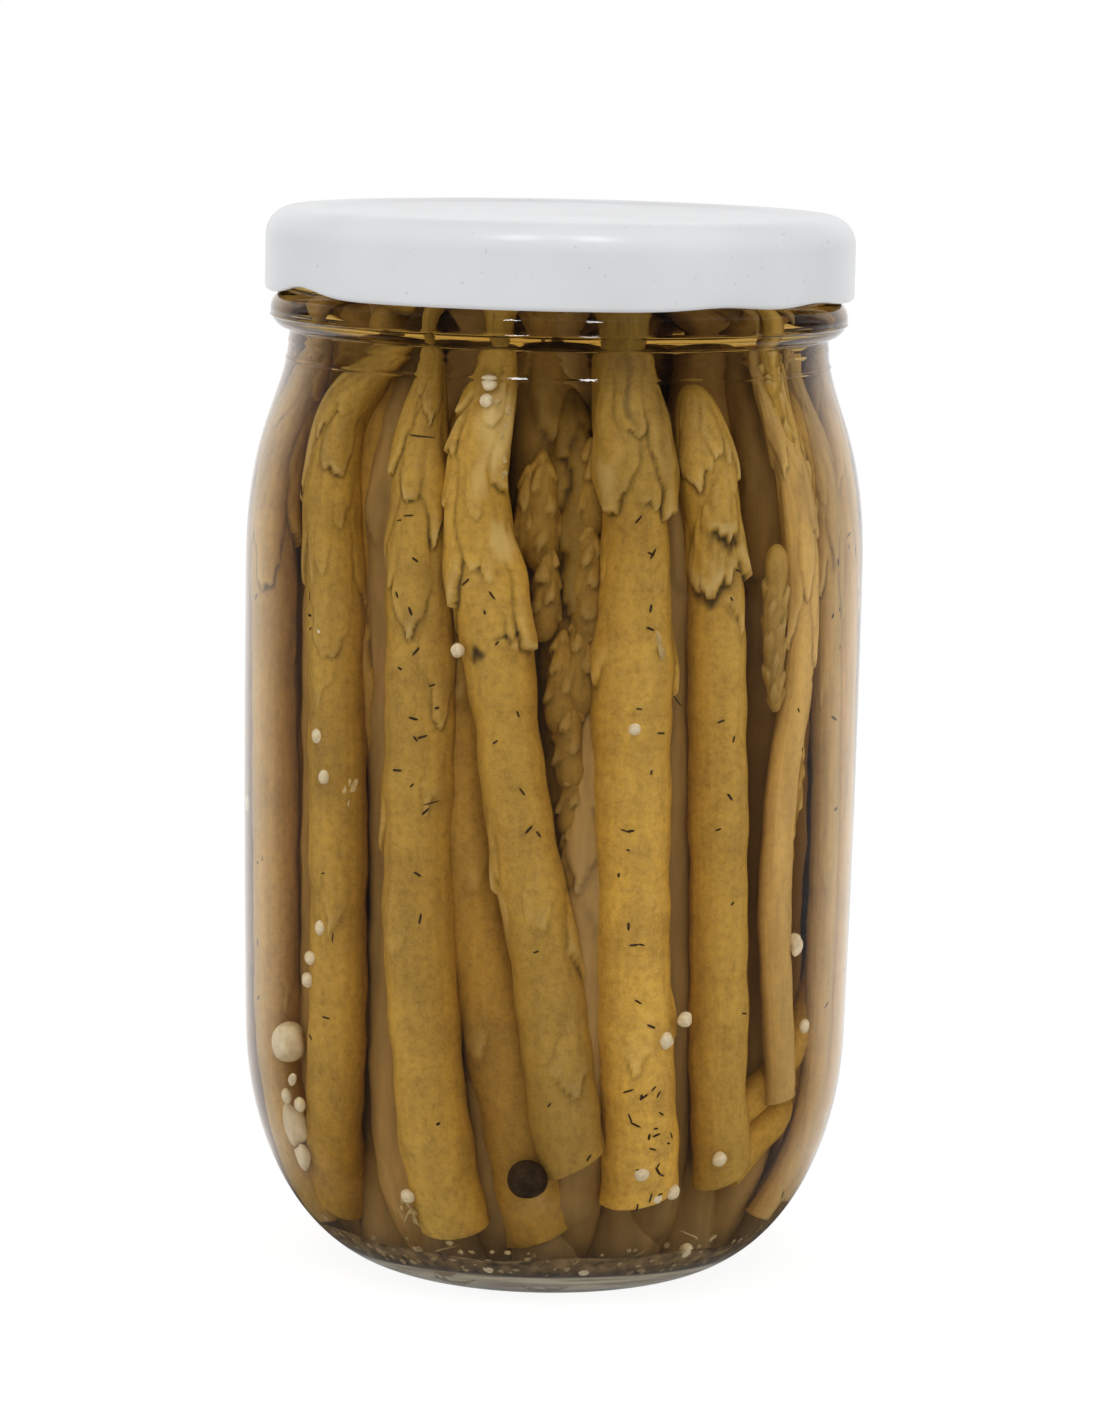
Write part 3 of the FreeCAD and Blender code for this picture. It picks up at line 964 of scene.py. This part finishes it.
def lid_run():
    """Profile of the lid: panel and corner on top, rolled edge, and the same back inside."""
    corner = (LID_RADIUS - LID_CORNER, LID_TOP - LID_CORNER)
    curl = (LID_RADIUS - LID_CURL, LID_BOTTOM + LID_CURL)
    under, slope_end = LID_TOP - LID_WALL, PANEL_RADIUS + PANEL_SLOPE
    return joined(
        [(0, under - PANEL_DROP), (PANEL_RADIUS, under - PANEL_DROP), (slope_end, under)],
        arc(corner, LID_CORNER - LID_WALL, 90, 0),
        [(LID_RADIUS - LID_WALL, curl[1] + LID_CURL)],
        arc(curl, LID_CURL, 160, 360),
        arc(corner, LID_CORNER, 0, 90),
        [(slope_end, LID_TOP), (PANEL_RADIUS, LID_TOP - PANEL_DROP), (0, LID_TOP - PANEL_DROP)])


# Lugs pressed into the lid's lower edge: azimuth, and rise as a share of the set lift.
LID_LUGS = ((-60.0, 1.6), (33.0, 0.6), (60.0, 0.7), (122.0, 1.0), (-148.0, 1.0))
LUG_SPREAD = 9.0        # degrees to each side
LUG_REACH = 4.0         # height over the lower edge that a lug still bends
LUG_PRESS = 0.007       # share of the radius that a lug is pressed in


class PICKLE_OT_lid(bpy.types.Operator):
    """Make the enamelled twist-off lid with its lugs"""
    bl_idname = "pickle.lid"
    bl_label = "Lid"

    def execute(self, context):
        settings = context.scene.pickle_glass
        around = 256
        profile = closed_run(softened(lid_run(), 0.25), 1.2, 0.09)
        points, faces = turned(profile, around)
        azimuth = np.degrees(np.arctan2(points[:, 0], -points[:, 1]))
        lift = np.zeros(len(points))
        press = np.zeros(len(points))
        for lug, share in LID_LUGS:
            apart = (azimuth - lug + 180) % 360 - 180
            bell = np.exp(-(apart / LUG_SPREAD) ** 2)
            lift += share * bell
            press += bell
        low = np.clip((LID_BOTTOM + LUG_REACH - points[:, 2]) / LUG_REACH, 0, 1) ** 2
        points[:, 2] += low * lift * settings.lug_lift / MM
        points[:, :2] *= 1 - LUG_PRESS * (low * press)[:, None]
        piece = make_piece("lid_shell", points, faces, lid_finish(settings), "lid_paint")
        # Painted shade: the lid's inside is a dark brown that stands for the shade under the closed lid.
        lacquer = plain_finish(
            "inside_lacquer", (0.09, 0.065, 0.035), (0.07, 0.05, 0.025), scale=200.0, roughness=0.5,
            bump_strength=0.0)
        piece.data.materials.append(lacquer)
        up_to_edge = np.arange(len(profile) - 1) < np.argmin(profile[:, 1])
        second_material(piece, (profile[:-1, 0] < LID_RADIUS - 0.5) & up_to_edge, around)
        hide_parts("lid")
        return {"FINISHED"}


class PICKLE_OT_brine(bpy.types.Operator):
    """Fill the jar with brine that reaches just into the glass"""
    bl_idname = "pickle.brine"
    bl_label = "Brine"

    def execute(self, context):
        settings = context.scene.pickle_filling
        side = heel_to_waist(FLOOR_Z - INTO_GLASS, WALL - INTO_GLASS)
        profile = closed_run(joined(
            [(0.0, FLOOR_Z - INTO_GLASS)], side,
            [(BORE_RADIUS + INTO_GLASS, BRINE_Z), (0.0, BRINE_Z)]), 1.3, 0.07)
        points, faces = turned(profile, 180)
        piece = make_piece("brine_fill", points, faces, brine_finish(settings), "brine")
        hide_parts("brine")
        return {"FINISHED"}


def skin(context):
    """The one asparagus finish, made when first asked for."""
    found = bpy.data.materials.get("pickled_asparagus")
    return found or asparagus_finish(context.scene.pickle_filling)


def spear_piece(context, name, shape):
    """Piece in the asparagus finish from a shape and its three layers."""
    points, faces, crease, tone, murk = shape
    layers = {"crease": crease, "tone": tone, "murk": murk}
    return make_piece(name, points, faces, skin(context), "asparagus", attributes=layers)


class PICKLE_OT_front_spears(bpy.types.Operator):
    """Make the spears that lean on the front of the glass"""
    bl_idname = "pickle.front_spears"
    bl_label = "Front spears"

    def execute(self, context):
        for name, facts in FRONT_SPEARS.items():
            facts = dict(facts)
            route = wall_route(facts.pop("stops"), facts["girth"], 1.0)
            spear_piece(context, name, spear_shape(route, around=96, steps=(0.33, 0.95), **facts))
        return {"FINISHED"}


class PICKLE_OT_deep_spears(bpy.types.Operator):
    """Make the spears and shoots seen in the gaps between the front ones"""
    bl_idname = "pickle.deep_spears"
    bl_label = "Deep spears"

    def execute(self, context):
        shapes = []

        def lay(stops, girth, seed, depth, **facts):
            """Adds a spear along the glass, depth behind it."""
            route = wall_route(stops, girth, depth)
            shapes.append(spear_shape(route, girth, seed, around=40, steps=(0.52, 1.5), **facts))

        # tone and murk give the shoots in the gaps painted shade and painted murk.
        lay([(150, -52), (124, -48), (107, -44), (92, -43), (76, -41)], 2.4, 31, 8.0, head=26, murk=0.3)
        lay([(13.5, -0.5), (26, -5.5), (39, -10), (54, -15), (66, -19), (84, -22), (110, -24), (140, -22)],
            5.1, 32, 6.5, murk=0.1, tone=(0.95,), cut=0.32)
        lay([(50, 4), (90, 4), (110, 4), (126, 4.5), (138.5, 3)], 4.6, 33, 8.5, head=30, point=0.6,
            bold=1.3, tone=(0.5,), murk=0.1)
        lay([(40, -6), (90, -6), (130, -4), (150, -5)], 4.4, 34, 11.0, head=20, murk=0.4,
            tone=(0.3, 0.3, 0.3, 0.4, 1.5))
        for low, top, azimuth, lean, girth, depth in (
                (102, 117, -2.5, 1.0, 2.0, 6.5), (101, 119.5, 8.0, -0.5, 2.3, 6.0),
                (91, 107, 6.5, -0.5, 2.2, 6.0), (88, 104, 2.0, 0.5, 2.4, 6.3),
                (79, 95, 5.0, -1.0, 2.3, 6.0), (73, 87, 4.0, 1.0, 2.1, 6.0),
                (64, 79, 6.0, -0.5, 1.9, 6.0), (112, 129, -3.5, 0.5, 2.7, 7.0),
                (114, 127, -6.5, 0.5, 1.9, 7.5), (117, 131, 8.0, 0.5, 1.9, 7.0)):
            stops = [(low, azimuth), ((low + top) / 2, azimuth + lean), (top, azimuth + 0.6 * lean)]
            lay(stops, girth, int(low), depth, head=(top - low) * 0.8, point=0.5, bold=0.0, buds=True,
                tone=(0.6, 0.8), murk=0.15)
        lay([(143, 68), (129, 64), (119, 60), (107, 57), (97, 57)], 2.1, 37, 3.0, head=26)
        lay([(52, 55), (70, 55), (79, 58), (92, 58)], 1.6, 38, 3.0, head=18, bold=0.0, buds=True)
        lay([(116, 48.5), (108, 48), (100, 48), (91, 49)], 2.1, 39, 0.7, head=26, point=0.3, bold=0.0,
            buds=True, tone=(0.8,), murk=0.2)
        lay([(150, 56), (130, 58), (112, 60)], 2.0, 40, 2.5, head=30, point=0.4)
        lay([(151, 53), (140, 54), (124, 56)], 1.6, 47, 0.8, head=27, point=0.4, bold=0.0, buds=True)
        for stops, seed, foot in (
                ([(9, 33), (60, 30), (100, 28), (140, 26)], 41, 0.65),
                ([(9, 62), (60, 62), (100, 60), (145, 58)], 48, 1.0),
                ([(9, -38), (60, -38), (100, -40), (146, -46)], 42, 1.3),
                ([(9, -66), (60, -62), (100, -62), (146, -60)], 49, 1.3)):
            lay(stops, 4.1, seed, 8.0, murk=0.9, tone=(foot, 0.92, 1.05, 1.0))
        lay([(8, 9, 9.5), (22, 9, 7.5), (40, 9, 5.5), (70, 9, 5.5), (96, 9, 5.5)], 4.0, 50, 5.5, murk=0.8,
            tone=(0.6, 1.0, 1.1, 1.0))
        lay([(9, -13), (40, -14), (90, -18)], 4.0, 51, 9.0, murk=0.9, tone=(0.7, 0.9, 1.0))
        lay([(21, 47), (26, 55), (30, 67)], 3.8, 43, 4.0, head=6, point=0.5, bold=0.0)
        lay([(28, 42), (36, 62), (47, 76), (60, 82)], 2.8, 44, 4.5, head=8, point=0.5, bold=0.0)
        spear_piece(context, "deep_spears", merged(shapes))
        return {"FINISHED"}


class PICKLE_OT_back_spears(bpy.types.Operator):
    """Make the spears round the back of the glass"""
    bl_idname = "pickle.back_spears"
    bl_label = "Back spears"

    def execute(self, context):
        count = context.scene.pickle_filling.back_spears
        rng = np.random.default_rng(50)
        for k in range(count):
            azimuth = 104 + (k + 0.5) * 166 / count
            girth = rng.uniform(4.6, 5.7)
            low = rng.uniform(8, 20)
            top = rng.uniform(141, 152)
            lean = rng.uniform(-5, 5)
            bend = rng.uniform(-4, 4)
            stops = [(low, azimuth + lean), (60, azimuth + bend), (100, azimuth), (125, azimuth - bend / 2),
                     (top, azimuth + rng.uniform(-5, 5))]
            route = wall_route(stops, girth, 1.0)
            # tone paints the tips darker, as painted shade under the lid.
            shape = spear_shape(
                route, girth, 60 + k, head=rng.uniform(32, 44), point=rng.uniform(0.5, 0.85), around=56,
                steps=(0.5, 1.4), tone=(1.0, 1.0, 0.85))
            spear_piece(context, "spear_back_%d" % (k + 1), shape)
        return {"FINISHED"}


class PICKLE_OT_inner_spears(bpy.types.Operator):
    """Make the spears packed in the middle of the jar"""
    bl_idname = "pickle.inner_spears"
    bl_label = "Inner spears"

    def execute(self, context):
        rng = np.random.default_rng(80)
        shapes = []
        for ring, number, depth in ((0, 14, 15.5), (1, 8, 27.5), (2, 1, 39.0)):
            for k in range(number):
                azimuth = 360.0 * k / number + 9 * ring + rng.uniform(-3, 3)
                girth = rng.uniform(4.6, 5.4)
                low, top = rng.uniform(6, 9), rng.uniform(146, 153)
                height = np.linspace(low, top, 60)
                away = 44.9 - depth - girth - np.clip((height - 118) / 32, 0, 1) * 3.0
                away = np.minimum(away, bore_at(height) - girth - 2.0 - ring * 4.0)
                azimuth = azimuth + waves(height, rng, (160.0, 90.0), 5.0)
                route = standing_at(np.maximum(away, 0.3), azimuth, height)
                # Painted murk, with a tone that paints the tips lighter.
                shapes.append(spear_shape(
                    route, girth, 90 + 20 * ring + k, around=28, steps=(1.0, 3.0), murk=1.0,
                    head=24, point=0.42, tone=(0.8, 1.0, 1.1, 1.1, 1.6)))
        spear_piece(context, "inner_spears", merged(shapes))
        return {"FINISHED"}


def wall_place(height, azimuth, size):
    """Centre of a piece of that radius that touches the glass at a height and azimuth."""
    return standing_at(bore_at(height) - size - 0.2, azimuth, height)


def grain_shape(centre, radii, rng, around=16, rows=9, uneven=0.06, lean=None):
    """Rounded grain: a sphere of rows by around points, stretched by radii and gently dented.

    It is turned at random, or leans by an angle in the plane that faces the front.
    """
    polar = np.linspace(0, np.pi, rows + 2)[1:-1][:, None]
    turn = np.linspace(0, 2 * np.pi, around, endpoint=False)[None, :]
    ball = np.stack([np.sin(polar) * np.cos(turn), np.sin(polar) * np.sin(turn),
                     -np.cos(polar) + 0 * turn], axis=-1).reshape(-1, 3)
    ball = np.concatenate([[[0, 0, -1.0]], ball, [[0, 0, 1.0]]])
    push = rng.normal(size=(4, 3)) * 2.2
    dents = 1 + uneven * np.sin(ball @ push.T + rng.uniform(0, 6, 4)).mean(axis=1) * 2
    spin = Matrix.Rotation(rng.uniform(0, 6.28), 3, "X") @ Matrix.Rotation(rng.uniform(0, 6.28), 3, "Z")
    if lean is not None:
        spin = Matrix.Rotation(lean, 3, "Y")
    points = (ball * dents[:, None] * np.array(radii)) @ np.array(spin).T + np.asarray(centre)
    return kept_inside(points, TOUCHING), tube_faces(rows, around)


def grains_piece(name, shapes, finish, slot, smooth=True):
    """Piece made of many small shapes."""
    points, faces = merged(shapes)
    return make_piece(name, points, faces, finish, slot, smooth)


class PICKLE_OT_seeds(bpy.types.Operator):
    """Scatter the mustard seeds"""
    bl_idname = "pickle.seeds"
    bl_label = "Mustard seeds"

    def execute(self, context):
        settings = context.scene.pickle_filling
        rng = np.random.default_rng(5)
        shapes = []

        def lay(height, azimuth, spread):
            """Adds a seed against the glass, larger or smaller by up to spread."""
            size = settings.seed_size / MM / 2 * rng.uniform(1 - spread, 1 + spread)
            shapes.append(grain_shape(
                wall_place(height, azimuth, size), (size, size * 0.97, size * 1.04), rng))

        for height, azimuth in (
                (139.6, -14.9), (137.0, -15.1), (102, -49), (101, -18), (86, -50), (80, -48), (90, 16),
                (57, -49), (52, -52), (48.5, -53), (46, 28), (43, 24), (23, 21), (19, 25), (24, 39),
                (18, -30), (29.5, -62), (29, -57), (7.6, 12), (7.6, -14), (42, 61), (19.5, 29), (9.5, 40)):
            lay(height, azimuth, 0.08)
        for k in range(settings.loose_seeds):
            azimuth = rng.uniform(75, 285)
            lay(6 + 130 * rng.uniform(0, 1) ** 1.6, azimuth, 0.1)
        skin_of_seed = plain_finish(
            "mustard_seed_skin", (0.80, 0.67, 0.45), (0.66, 0.52, 0.30), scale=1500.0, roughness=0.35,
            bump_strength=0.1, gloss=0.4)
        grains_piece("mustard_seeds", shapes, skin_of_seed, "mustard_seed")
        return {"FINISHED"}


class PICKLE_OT_garlic(bpy.types.Operator):
    """Place the pieces of garlic"""
    bl_idname = "pickle.garlic"
    bl_label = "Garlic"

    def execute(self, context):
        rng = np.random.default_rng(6)
        shapes = [
            grain_shape(wall_place(height, azimuth, wide), (wide, wide * 0.8, tall), rng,
                        around=28, rows=15, uneven=0.16)
            for height, azimuth, wide, tall in (
                (37.5, -63, 3.4, 2.8), (25, -65, 3.4, 3.3), (20.5, -62, 2.0, 2.2), (55, 57, 1.5, 1.9),
                (32.5, -58.5, 0.8, 1.6), (60, 140, 3.0, 3.6), (33, 215, 3.4, 2.9), (20, 171, 3.2, 2.7))]
        clove = plain_finish(
            "pickled_garlic", (0.80, 0.67, 0.46), (0.64, 0.50, 0.31), scale=380.0, roughness=0.4,
            bump_strength=0.2)
        grains_piece("garlic_pieces", shapes, clove, "garlic")
        return {"FINISHED"}


class PICKLE_OT_peppercorns(bpy.types.Operator):
    """Place the peppercorns"""
    bl_idname = "pickle.peppercorns"
    bl_label = "Peppercorns"

    def execute(self, context):
        rng = np.random.default_rng(7)
        shapes = [
            grain_shape(wall_place(height, azimuth, size), (size, size, size), rng,
                        around=40, rows=24, uneven=0.03)
            for height, azimuth, size in ((22.0, -3.0, 2.9), (14.0, 160.0, 2.6), (48.0, 231.0, 2.7))]
        husk = plain_finish(
            "peppercorn_husk", (0.050, 0.026, 0.009), (0.020, 0.010, 0.004), scale=700.0,
            roughness=0.6, bump_strength=0.8, gloss=0.1)
        grains_piece("peppercorns", shapes, husk, "peppercorn")
        return {"FINISHED"}


def skin_points(piece):
    """Points in millimetres and normals of a piece's mesh."""
    vertices = piece.data.vertices
    place, facing = np.empty((2, len(vertices) * 3), np.float32)
    vertices.foreach_get("co", place)
    vertices.foreach_get("normal", facing)
    return place.reshape(-1, 3) / MM, facing.reshape(-1, 3)


def fleck_shape(base, normal, rng):
    """Flat six-sided leaf fragment that lies on the skin at a point, turned at random."""
    along = np.cross(normal, rng.normal(size=3))
    along /= np.linalg.norm(along)
    across = np.cross(normal, along)
    length, width = rng.uniform(0.35, 1.0), rng.uniform(0.12, 0.2)
    corners = np.array([[-1, 0], [-0.5, 1], [0.6, 0.9], [1, 0], [0.5, -1], [-0.6, -0.9]])
    outline = base + (corners[:, :1] * length * along + corners[:, 1:] * width * across)
    leaf = np.concatenate([outline - 0.03 * normal, outline + 0.07 * normal])
    ring = np.arange(6)
    following = (ring + 1) % 6
    sides = np.stack([ring, following, following + 6, ring + 6], axis=1)
    top = np.array([[6, 7, 8, 9], [6, 9, 10, 11]])
    bottom = np.array([[3, 2, 1, 0], [5, 4, 3, 0]])
    return kept_inside(leaf, TOUCHING), [sides, top, bottom]


class PICKLE_OT_herbs(bpy.types.Operator):
    """Lay herb flecks on the spears"""
    bl_idname = "pickle.herbs"
    bl_label = "Herb flecks"

    def execute(self, context):
        rng = np.random.default_rng(8)
        amounts = {"spear_2": 9, "spear_4": 18, "spear_5": 12, "spear_8": 18, "spear_9": 8, "spear_10": 4}
        shapes = []
        for piece in sorted(bpy.data.objects, key=lambda item: item.name):
            if not piece.name.startswith("spear_"):
                continue
            place, facing = skin_points(piece)
            out = place[:, :2] / np.maximum(np.hypot(place[:, 0], place[:, 1]), 1e-6)[:, None]
            open_side = (np.sum(out * facing[:, :2], axis=1) > 0.82) & (place[:, 2] < 122)
            picks = rng.choice(np.flatnonzero(open_side), amounts.get(piece.name, 8))
            if piece.name == "spear_8":
                foot = np.flatnonzero(open_side & (place[:, 2] < 36))
                strewn = foot[np.argsort(place[foot, 2] + 3.0 * np.sin(place[foot, 0] * 2.2))]
                picks = np.concatenate([picks, strewn[np.linspace(0, len(strewn) - 1, 20).astype(int)]])
            shapes += [fleck_shape(place[pick], facing[pick], rng) for pick in picks]
        for height, azimuth, long, lean in (
                (131.4, -28.0, 2.1, 0.1), (78.2, -22.5, 1.3, -0.3), (94.0, 24.0, 1.0, 0.9)):
            shapes.append(grain_shape(
                wall_place(height, azimuth, 0.3), (long, 0.13, 0.13), rng, around=8, rows=9,
                uneven=0.05, lean=lean))
        herb = plain_finish(
            "dried_herb", (0.06, 0.032, 0.010), (0.03, 0.016, 0.005), scale=900.0, roughness=0.6)
        grains_piece("herb_flecks", shapes, herb, "herbs", smooth=False)
        return {"FINISHED"}


class PICKLE_OT_shreds(bpy.types.Operator):
    """Lay torn pale shreds on the skin of the spears"""
    bl_idname = "pickle.shreds"
    bl_label = "Torn shreds"

    def execute(self, context):
        rng = np.random.default_rng(12)
        shapes = []
        for amount, low, high, left, right, size in (
                (7, 126, 137, -12.5, -10.0, 0.5), (2, 100, 102, 20, 21, 1.0),
                (4, 76, 80, -42, -40, 0.6), (8, 13, 19, -34, -29, 0.6)):
            for _ in range(amount):
                centre = wall_place(rng.uniform(low, high), rng.uniform(left, right), rng.uniform(0.3, 1.3))
                wide, tall = size * rng.uniform(0.35, 0.9), size * rng.uniform(0.6, 1.6)
                shapes.append(grain_shape(
                    centre, (wide, 0.2, tall), rng, around=14, rows=9, uneven=0.45,
                    lean=rng.uniform(-0.5, 0.5)))
        torn = plain_finish(
            "torn_skin", (0.54, 0.38, 0.16), (0.42, 0.28, 0.10), scale=900.0, roughness=0.6,
            bump_strength=0.5)
        grains_piece("skin_shreds", shapes, torn, "asparagus")
        return {"FINISHED"}


def silt_shape():
    """Bed on the floor of the jar: a thin turned layer whose top swells by sines of the angle.

    It thins out over the last millimetres towards its edge.
    """
    low = spaced(INSIDE[INSIDE[:, 1] < 9.5], 1.2, 0.1) + np.array([-0.15, 0.15])
    thick = np.interp(low[::-1, 0], [0, 36.5], [2.0, 0.6])
    high = low[::-1] + np.array([0.0, 1.0]) * thick[:, None]
    profile = joined([(0.0, FLOOR_Z + 0.15)], low, high, [(0.0, FLOOR_Z + 2.2)])
    points, faces = turned(profile, 120)
    angle = np.arctan2(points[:, 1], points[:, 0])
    away = np.hypot(points[:, 0], points[:, 1])
    uneven = np.sin(5 * angle + away / 3) + np.sin(11 * angle - away / 2) + np.sin(3 * angle + away / 5)
    top = points[:, 2] > np.interp(away, low[:, 0], low[:, 1]) + 0.3
    points[:, 2] += np.where(top & (away > 1), 0.22 * uneven, 0.0)
    points[:, 2] -= np.clip((away - 29) / 6, 0, 1) * (1.4 + 0.6 * uneven)
    return kept_inside(points, 0.08), faces


class PICKLE_OT_sediment(bpy.types.Operator):
    """Lay sediment and fibres on the bottom"""
    bl_idname = "pickle.sediment"
    bl_label = "Sediment"

    def execute(self, context):
        rng = np.random.default_rng(9)
        shapes = []
        for _ in range(230):
            azimuth, away, size = rng.uniform(0, 360), rng.uniform(29.5, 35.0), rng.uniform(0.25, 0.8)
            height = np.interp(away, INSIDE[:40, 0], INSIDE[:40, 1]) + size * 0.5
            shapes.append(grain_shape(
                standing_at(away, azimuth, height), (size, size * 0.8, size * 0.6), rng, around=8,
                rows=4, uneven=0.2))
        for azimuth, height, lean in (
                (-31, 15, 0.5), (-29.5, 15, -0.4), (-24, 10, 1.2), (24, 9, 1.0), (4, 8, 1.4),
                (38, 12, -1.1), (-12, 8, -1.3)):
            shapes.append(grain_shape(
                wall_place(height, azimuth, 0.6), (0.16, 0.16, 2.2), rng, around=8, rows=9,
                uneven=0.05, lean=lean))
        bits = plain_finish(
            "spice_sediment", (0.50, 0.36, 0.17), (0.20, 0.12, 0.04), scale=260.0, roughness=0.6)
        grains_piece("sediment", shapes, bits, "herbs")
        make_piece("silt_bed", *silt_shape(), silt_finish(), "herbs")
        return {"FINISHED"}


def put_on_stage(scene, item):
    """Object at the origin that holds a mesh, a lamp or a camera."""
    thing = bpy.data.objects.new(item.name, item)
    scene.collection.objects.link(thing)
    return thing


def make_floor(scene, half=4.0):
    """Square floor of twice that half width."""
    mesh = bpy.data.meshes.new("floor")
    mesh.from_pydata(
        [(-half, -half, 0), (half, -half, 0), (half, half, 0), (-half, half, 0)], [], [(0, 1, 2, 3)])
    mesh.materials.append(floor_finish())
    floor = put_on_stage(scene, mesh)


def white_tent(scene, strength):
    """White room: even light for the jar, and plain white for the camera.

    Reflections and glass see it white only behind the jar, by the direction's share of +Y.
    """
    scene.world = bpy.data.worlds.new("white_tent")
    scene.world.use_nodes = True
    tent = Graph(scene.world.node_tree, "World")
    ahead = tent.part(tent.add("TexCoord").outputs["Generated"], "Y")
    path = tent.add("LightPath")
    bent = path.outputs["Is Transmission Ray"]
    share = tent.add("Mix", {
        0: bent, 2: tent.ranged(ahead, *ROOM_AHEAD, 0.015), 3: tent.ranged(ahead, *GLASS_AHEAD, 0.02)})
    even = tent.shader("Background", {"Color": WHITE, "Strength": strength})
    room = tent.shader("Background", {"Color": share.outputs[0], "Strength": 1.0})
    backdrop = tent.shader("Background", {"Color": WHITE, "Strength": 1.0})
    indirect = tent.math("MAXIMUM", path.outputs["Is Glossy Ray"], bent)
    bounced = tent.mixed(indirect, even, room)
    tent.put(tent.out.inputs["Surface"], tent.mixed(path.outputs["Is Camera Ray"], bounced, backdrop))


# Lamps: name, azimuth and elevation in degrees, then width, height and distance in metres.
TOP_LAMPS = (("lamp_left", -22.5, 56.0, 0.06, 0.22, 0.75), ("lamp_right", 17.0, 56.0, 0.06, 0.22, 0.75))
SIDE_PANELS = (("panel_left", -85.0, 12.0, 0.6, 0.6, 0.9), ("panel_right", 85.0, 12.0, 0.6, 0.6, 0.9))
AIM_HEIGHT = 0.1


def make_lamp(scene, facts, power, mirrored):
    """Lamp that faces the jar's axis; mirrored ones show in reflections and through glass."""
    name, azimuth, elevation, wide, high, away = facts
    light = bpy.data.lights.new(name, "AREA")
    light.shape = "RECTANGLE"
    light.size, light.size_y = wide, high
    light.energy = power
    lamp = put_on_stage(scene, light)
    lamp.visible_glossy = lamp.visible_transmission = mirrored
    a, e = math.radians(azimuth), math.radians(elevation)
    out = away * math.cos(e)
    lamp.location = (out * math.sin(a), -out * math.cos(a), AIM_HEIGHT + away * math.sin(e))
    lamp.rotation_euler = (math.pi / 2 - e, 0, a)


def make_camera(scene, settings):
    """Camera in front of the jar: moved, tilted down by the pitch, then turned by the roll."""
    lens = bpy.data.cameras.new("camera")
    lens.sensor_width = 36.0
    lens.lens = settings.lens
    lens.shift_x = -0.0008
    lens.clip_start, lens.clip_end = 0.02, 20.0
    scene.camera = put_on_stage(scene, lens)
    scene.camera.matrix_world = (
        Matrix.Translation((0.0, -settings.distance, settings.height))
        @ Matrix.Rotation(math.pi / 2 - settings.pitch, 4, "X")
        @ Matrix.Rotation(settings.roll, 4, "Z"))


class PICKLE_OT_stage(bpy.types.Operator):
    """Set up the floor, the white tent, the lamps and the camera"""
    bl_idname = "pickle.stage"
    bl_label = "Stage"

    def execute(self, context):
        scene = context.scene
        settings = scene.pickle_stage
        make_floor(scene)
        white_tent(scene, settings.room_strength)
        for facts in TOP_LAMPS:
            make_lamp(scene, facts, settings.lamp_power, True)
        for facts in SIDE_PANELS:
            make_lamp(scene, facts, settings.panel_power, False)
        make_camera(scene, settings)
        scene.view_settings.view_transform = "Standard"
        return {"FINISHED"}


class PICKLE_PT_panel(bpy.types.Panel):
    """Sidebar panel that lists the pieces of the jar"""
    bl_idname = "PICKLE_PT_panel"
    bl_label = "Pickle jar"
    bl_space_type = "VIEW_3D"
    bl_region_type = "UI"
    bl_category = "Pickle jar"

    def draw(self, context):
        for group in (context.scene.pickle_glass, context.scene.pickle_filling, context.scene.pickle_stage):
            box = self.layout.box()
            for key in group.bl_rna.properties.keys():
                if key not in ("rna_type", "name"):
                    box.prop(group, key)
        for operator in OPERATORS:
            self.layout.operator(operator.bl_idname)


GROUPS = (GlassSettings, FillingSettings, StageSettings)
OPERATORS = (
    PICKLE_OT_glass, PICKLE_OT_lid, PICKLE_OT_brine, PICKLE_OT_front_spears, PICKLE_OT_deep_spears,
    PICKLE_OT_back_spears, PICKLE_OT_inner_spears, PICKLE_OT_seeds, PICKLE_OT_garlic,
    PICKLE_OT_peppercorns, PICKLE_OT_herbs, PICKLE_OT_shreds, PICKLE_OT_sediment, PICKLE_OT_stage)


def register():
    """Makes the settings, operators and panel known to Blender."""
    for item in (*GROUPS, *OPERATORS, PICKLE_PT_panel):
        bpy.utils.register_class(item)
    bpy.types.Scene.pickle_glass = bpy.props.PointerProperty(type=GlassSettings)
    bpy.types.Scene.pickle_filling = bpy.props.PointerProperty(type=FillingSettings)
    bpy.types.Scene.pickle_stage = bpy.props.PointerProperty(type=StageSettings)


def unregister():
    """Takes them away again."""
    for key in ("pickle_glass", "pickle_filling", "pickle_stage"):
        delattr(bpy.types.Scene, key)
    for item in reversed((*GROUPS, *OPERATORS, PICKLE_PT_panel)):
        bpy.utils.unregister_class(item)


def main():
    """Makes every piece in order."""
    register()
    for operator in OPERATORS:
        family, name = operator.bl_idname.split(".")
        getattr(getattr(bpy.ops, family), name)()


if __name__ == "__main__":
    main()
